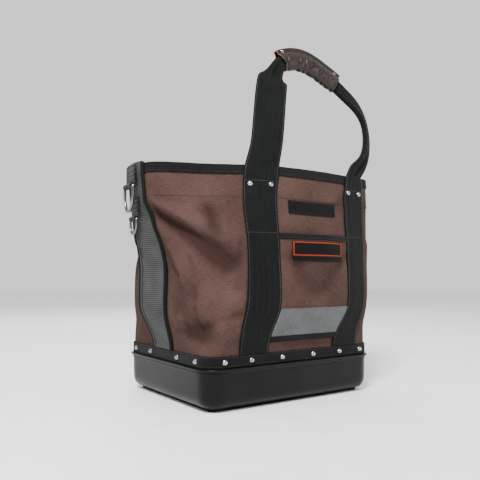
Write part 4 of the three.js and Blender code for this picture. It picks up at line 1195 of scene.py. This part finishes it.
def on_rows(rows, u, v):
    """Points of a net of rows at shares across and along"""
    along = v * (len(rows) - 1)
    i = np.minimum(along.astype(int), len(rows) - 2)
    across = u * (rows.shape[1] - 1)
    j = np.minimum(across.astype(int), rows.shape[1] - 2)
    a, b = (along - i)[:, None], (across - j)[:, None]
    low = rows[i, j] * (1 - b) + rows[i, j + 1] * b
    return low * (1 - a) + (rows[i + 1, j] * (1 - b) + rows[i + 1, j + 1] * b) * a


def make_strap(name, route, up, down, curl, node):
    """One webbing strap with its edge stitches"""
    rows = strap_rows(route, up, down, curl)
    total = run_along(rows[:, STRAP_ACROSS // 2])[-1]
    bm = moved_grid(STRAP_ACROSS, len(rows) - 1, lambda u, v: on_rows(rows, u, v), (STRAP_WIDTH, total))
    settle(name, bm, BLACK_WEBBING, [node], wall=WEBBING, offset=0, bevel=0.5 * MM)
    out = normals_of(rows)
    lines = []
    for column in (1, STRAP_ACROSS - 1):
        lines.append((rows[:, column] + out[:, column] * WEBBING * 0.52, out[:, column]))
    stitched(f"{name}_edge_stitches", lines, GREY_THREAD, "black_webbing")


def cross_stitches(name, centre, heights):
    """Stitches across a strap's leg at some heights"""
    around = np.linspace(centre - STRAP_EDGE * 0.86, centre + STRAP_EDGE * 0.86, 40)
    lines = [
        skin_line(around, np.full(40, z), stand_off(np.full(40, z)) + WEBBING + 0.05 * MM) for z in heights
    ]
    stitched(name, lines, GREY_THREAD, "black_webbing")


def grip_neck(v, neck_end):
    """How wide the sewn edge is along the grip, which narrows at its start on the folded strap"""
    if not neck_end:
        return np.ones_like(v)
    return GRIP_NECK + (1 - GRIP_NECK) * smooth(v / GRIP_NECK_RUN)


def pleats_at(s, h):
    """Irregular pleats from -1 to 0.6 along a grip, slanted across it"""
    along = s / (2.7 * MM) + 1.7 * np.sin(s / (8.5 * MM)) + 0.9 * np.sin(s / (19 * MM) + 1)
    slant = 0.05 * h / MM + 0.5 * np.sin(h / (5 * MM))
    return np.abs(np.sin((along + slant) / 2)) ** 0.7 * 1.6 - 1


def make_grip(name, route, first, last, node, neck_end):
    """A leather wrap: a round tube on the webbing with its two edges sewn together above it"""
    at, middles, sides, faces, _ = route_frames(route, 8)
    held = (at >= first - 1e-6) & (at <= last + 1e-6)
    middles, sides, faces = middles[held], sides[held], faces[held]
    count = len(middles)
    run = run_along(middles)
    half = np.array(GRIP_SECTION, float)
    ring = np.concatenate([half, half[::-1] * [1, -1]]) * MM
    marks = np.linspace(0, 1, len(ring) + 1)
    ring = np.concatenate([ring, ring[:1]])

    def place(u, v):
        section = curve_through(marks, ring, u)
        h, d = section[:, 0], section[:, 1]
        share = v * (count - 1)
        middle, side, face = (between_rows(rows, share) for rows in (middles, sides, faces))
        tube = GRIP_TUBE * MM
        h = np.where(h < -tube, -tube + (h + tube) * grip_neck(v, neck_end), h)
        pleats = pleats_at(np.interp(share, np.arange(count), run), h)
        seam = np.exp(-((h - 1 * MM) / (9 * MM)) ** 2)
        d = d * (1 + 0.22 * pleats * np.exp(-((h / tube) ** 4)) * (0.3 + 0.9 * seam))
        h = h * (1 + 0.09 * pleats * smooth(h / (8 * MM)))
        return middle + side * h[:, None] + face * d[:, None]

    bm = moved_grid(56, 170, place, (84 * MM, run[-1]), closed=True)
    bmesh.ops.reverse_faces(bm, faces=bm.faces)
    settle(name, bm, LEATHER, [node], wall=1.6 * MM, rim=RAW_EDGE, bevel=0.4 * MM)
    lines = []
    for height, deep in ((-14.6, 4.3), (-21.2, 3.2)):
        for way in (1, -1):
            points, out = [], []
            for i in range(2, count - 2):
                neck = grip_neck(i / (count - 1), neck_end)
                h = (-GRIP_TUBE + (height + GRIP_TUBE) * neck) * MM
                points.append(middles[i] + sides[i] * h + faces[i] * way * deep * MM)
                out.append(faces[i] * way)
            lines.append((points, out))
    stitched(f"{name}_stitches", lines, GREY_THREAD, "grip_leather", **LONG_STITCH)
    return middles, sides, faces


# Rivets: a low dome on a flange, by radius and height in mm

RIVET_PROFILE = ((4.6, 0), (4.6, 0.45), (3.9, 0.7), (3.6, 1.3), (2.9, 2.1), (1.6, 2.6), (0, 2.75))


def make_rivet(node, place, way):
    """A dome on a flange, its foot at a place and its head in a direction"""
    bm = bmesh.new()
    verts = [bm.verts.new((r * MM, 0, h * MM)) for r, h in RIVET_PROFILE]
    edges = [bm.edges.new(pair) for pair in zip(verts, verts[1:])]
    bmesh.ops.spin(
        bm, geom=verts + edges, cent=(0, 0, 0), axis=(0, 0, 1), angle=2 * math.pi, steps=18, use_merge=True,
    )
    bmesh.ops.remove_doubles(bm, verts=bm.verts, dist=0.01 * MM)
    bmesh.ops.recalc_face_normals(bm, faces=bm.faces)
    turn = Vector((0, 0, 1)).rotation_difference(Vector(way)).to_matrix().to_4x4()
    bmesh.ops.transform(bm, matrix=Matrix.Translation(Vector(place)) @ turn, verts=bm.verts)
    settle(f"{node}_head", bm, NICKEL, [node])


def rivet_on_skin(node, around, z, out):
    """A rivet square to the fabric"""
    step = 3 * MM
    side = skin(around + step / GIRTH, z, out) - skin(around - step / GIRTH, z, out)
    rise = skin(around, z + step, out) - skin(around, z - step, out)
    make_rivet(node, skin(around, z, out), unit(np.cross(side, rise)))


for name, route, (first, last), legs, heads in (
    ("front", FRONT_ROUTE, (8, 13), {"up": FRONT_LEFT, "down": FRONT_RIGHT}, 1),
    ("back", back_route(), (11, 15), {"up": BACK_RIGHT, "down": BACK_LEFT}, -1),
):
    make_strap(f"{name}_strap", route, legs["up"], legs["down"], heads, f"strap_{name}")
    middles, sides, faces = make_grip(f"{name}_grip", route, first, last, f"grip_{name}", heads > 0)
    for which, i in (("left", 3), ("right", len(middles) - 4)):
        place = middles[i] - sides[i] * GRIP_RIVET_ASIDE + faces[i] * heads * 3 * MM
        make_rivet(f"grip_rivet_{name}_{which}", place, faces[i] * heads)
    for leg, centre in legs.items():
        for side, way in (("a", -1), ("b", 1)):
            around = centre + way * LEG_RIVETS_ASIDE / GIRTH
            rivet_on_skin(
                f"strap_rivet_{name}_{leg}_{side}", around, RIVET_ROW, stand_off(RIVET_ROW) + WEBBING,
            )
        cross_stitches(f"{name}_{leg}_cross_stitches", centre, CROSS_STITCHES)

# Rivets through the foot band, at shares of half the tray's length and width
band_height = LIP_HEIGHT + 9 * MM
band_out = GAP + BAND_WALL
to_front_middle = SIDE_RUN + CORNER_RUN + FRONT_RUN / 2
for i, share in enumerate((-0.806, -0.5275, -0.1855, 0.1855, 0.5275, 0.806), 1):
    x = share * HALF_LENGTH
    rivet_on_skin(f"rivet_front_{i}", (to_front_middle + x) / GIRTH, band_height, band_out)
    rivet_on_skin(f"rivet_back_{i}", 0.5 + (to_front_middle - x) / GIRTH, band_height, band_out)
for i, share in enumerate((-0.723, -0.326, 0.326, 0.723), 1):
    y = share * HALF_WIDTH
    rivet_on_skin(f"rivet_left_{i}", -y / GIRTH, band_height, band_out)
    rivet_on_skin(f"rivet_right_{i}", 0.5 + y / GIRTH, band_height, band_out)


# Rings that hang in webbing tabs on the left strip

# The part of a ring's length that its straight bar takes up
BAR_SHARE = 0.3


def make_ring(name, wire, tab_width, depth, node_ring, node_tab, tab_rise):
    """A ring on its joint's bar and the webbing loop round the bar, which is sewn on the strip"""
    joint = next(entry for entry in frame["joints"] if entry["name"] == f"ring_{name}_swing")
    bar, axis = Vector(joint["pos_m"]), Vector(joint["axis"]).normalized()
    inward = axis.cross(Vector((0, 0, 1))).normalized()
    half = tab_width / 2 + GAP + wire / 2

    def section(u, middle, along):
        """A point round the wire"""
        across = along.cross(inward).normalized()
        angle = 2 * math.pi * u
        return middle + (across * math.cos(angle) + inward * math.sin(angle)) * wire / 2

    def path(t):
        """The bar first, then the bow back to it"""
        t = t % 1.0
        if t < BAR_SHARE:
            return axis * (half * (2 * t / BAR_SHARE - 1))
        bend = math.pi * (t - BAR_SHARE) / (1 - BAR_SHARE)
        return axis * (half * math.cos(bend)) - Vector((0, 0, depth * math.sin(bend) ** 0.7))

    def place(u, v):
        points = []
        for a, t in zip(u, v):
            along = (path(t + 0.01) - path(t - 0.01)).normalized()
            points.append(section(a, bar + path(t), along))
        return np.array([tuple(point) for point in points])

    bm = moved_grid(12, 96, place, (wire * 3, depth * 3), closed=True)
    bmesh.ops.recalc_face_normals(bm, faces=bm.faces)
    settle(f"{name}_ring", bm, RING_METAL, [node_ring], body=f"ring_{name}")

    barrel = wire / 2 + 1.3 * MM
    profile = [(barrel, tab_rise), (barrel, tab_rise * 0.5), (barrel, 0.0)]
    for degrees in range(-20, -321, -20):
        angle = math.radians(degrees)
        profile.append((barrel * math.cos(angle), barrel * math.sin(angle)))
    profile += [(barrel - 1.9 * MM, tab_rise * 0.35), (barrel - 1.9 * MM, tab_rise * 0.9)]
    marks = np.linspace(0, 1, len(profile))

    def tab_place(u, v):
        reach, rise = curve_through(marks, profile, v).T
        across = np.outer((u - 0.5) * tab_width, axis)
        return np.array(bar) + across + np.outer(reach, inward) + np.outer(rise, (0, 0, 1))

    bm = moved_grid(14, 90, tab_place, (tab_width, tab_rise * 3))
    settle(
        f"{name}_ring_tab", bm, TAB_WEBBING, [node_tab],
        wall=1.5 * MM, offset=0, bevel=0.3 * MM,
    )


make_ring("upper", 5 * MM, 33.4 * MM, 41 * MM, "d_ring_upper", "ring_tab_upper", 36 * MM)
make_ring("lower", 4 * MM, 20 * MM, 25 * MM, "d_ring_lower", "ring_tab_lower", 38 * MM)


# The moulded tray: one profile swept round a rounded rectangle

TRAY_COLUMNS = 128

# Inset from the outline and height, in mm, from the foot's underside by the outside to the floor
TRAY_PROFILE = (
    (70, 0), (21.8, 0), (21.2, 0.4), (20.7, 1.5), (20.4, 4.2), (19.6, 5.0), (16.6, 5.3), (13.2, 6.6),
    (10.2, 9.0), (7.9, 12.3), (6.2, 16.4), (5.3, 20.6), (5.0, 25), (4.4, 40), (3.9, 54.4), (3.2, 55.6),
    (2.9, 57.0), (3.2, 58.4), (3.4, 59.3), (1.6, 59.8), (0.5, 60.4), (0.0, 61.6), (0.0, 62.6), (0.5, 63.6),
    (1.6, 64.0), (7.8, 64.0), (7.9, 78.6), (8.3, 79.0), (9.9, 79.0), (10.3, 78.6), (10.3, 60), (8.0, 25),
    (11, 14), (21, 8), (70, 8),
)


def make_tray():
    table = np.array(TRAY_PROFILE, float) * MM

    def place(u, v):
        path = between_rows(table, v * (len(table) - 1))
        points = np.empty((len(u), 3))
        for inset in np.unique(path[:, 0]):
            here = path[:, 0] == inset
            corner = max(TRAY_CORNER - inset, 1.5 * MM)
            points[here, :2] = even_outline(HALF_LENGTH - inset, HALF_WIDTH - inset, corner, u[here])
        points[:, 2] = path[:, 1]
        return points

    bm = moved_grid(TRAY_COLUMNS, len(table) - 1, place, (1.17, 0.25), closed=True)
    rims = [edge for edge in bm.edges if edge.is_boundary]
    bmesh.ops.holes_fill(bm, edges=rims, sides=0)
    bmesh.ops.recalc_face_normals(bm, faces=bm.faces)
    piece = settle("tray", bm, TRAY_PLASTIC, ["base_tray"])
    weighted = piece.modifiers.new("even shade", "WEIGHTED_NORMAL")
    weighted.keep_sharp = True


def even_outline(half_length, half_width, corner, u):
    """The same share of the girth falls at the same corner for every inset"""
    stops = np.array([0.0, 0.09, 0.14, 0.36, 0.41, 0.59, 0.64, 0.86, 0.91, 1.0])
    side, front, arc = half_width - corner, 2 * (half_length - corner), corner * math.pi / 2
    marks = np.concatenate([[0.0], np.cumsum([side, arc, front, arc, 2 * side, arc, front, arc, side])])
    shares = np.interp(np.mod(u, 1.0), stops, marks / marks[-1])
    return rounded_outline(half_length, half_width, corner, shares)


make_tray()


# Camera, floor and light. The camera is fitted to the tray's lines in the photo.

CAMERA_PLACE = (-0.5908, -0.8221, 0.1973)
CAMERA_LIFT = 3.77
CAMERA_TURN = -34.90
CAMERA_LENS = 42


def make_camera():
    data = bpy.data.cameras.new("photo camera")
    data.lens = CAMERA_LENS
    data.sensor_width = 36
    data.clip_start = 0.01
    camera = add_object("photo_camera", data)
    camera.location = CAMERA_PLACE
    camera.rotation_euler = (math.radians(90 + CAMERA_LIFT), 0, math.radians(CAMERA_TURN))
    bpy.context.scene.camera = camera


def make_floor():
    """A pale floor that only the pictures have"""
    bm = bmesh.new()
    bmesh.ops.create_grid(bm, x_segments=2, y_segments=2, size=6)
    mesh = bpy.data.meshes.new("floor")
    bm.to_mesh(mesh)
    bm.free()
    floor = add_object("floor", mesh)
    mesh.materials.append(
        plain_finish("pale floor", (0.86, 0.86, 0.86), (0.89, 0.89, 0.89), 0.55, 60, 0.02 * MM, specular=0.3)
    )


def make_light(name, place, aim, size, power):
    """A soft box at a place that looks at another"""
    data = bpy.data.lights.new(name, "AREA")
    data.shape = "RECTANGLE"
    data.size, data.size_y = size
    data.energy = power
    light = add_object(name, data)
    light.location = place
    light.rotation_euler = (Vector(aim) - Vector(place)).to_track_quat("-Z", "Y").to_euler()


def make_world():
    world = bpy.data.worlds.new("studio")
    world.use_nodes = True
    background = world.node_tree.nodes["Background"]
    background.inputs["Color"].default_value = (1.0, 1.0, 1.0, 1.0)
    background.inputs["Strength"].default_value = 1.1
    bpy.context.scene.world = world


make_camera()
make_floor()
make_world()
make_light("key", (-1.15, -1.0, 2.0), (0, 0, 0.2), (0.5, 0.5), 115)
make_light("front fill", (1.3, -1.6, 0.35), (0.0, 0, 0.12), (0.8, 0.3), 11)
make_light("back rim", (0.6, 1.8, 1.6), (0, 0, 0.3), (1.4, 0.9), 30)
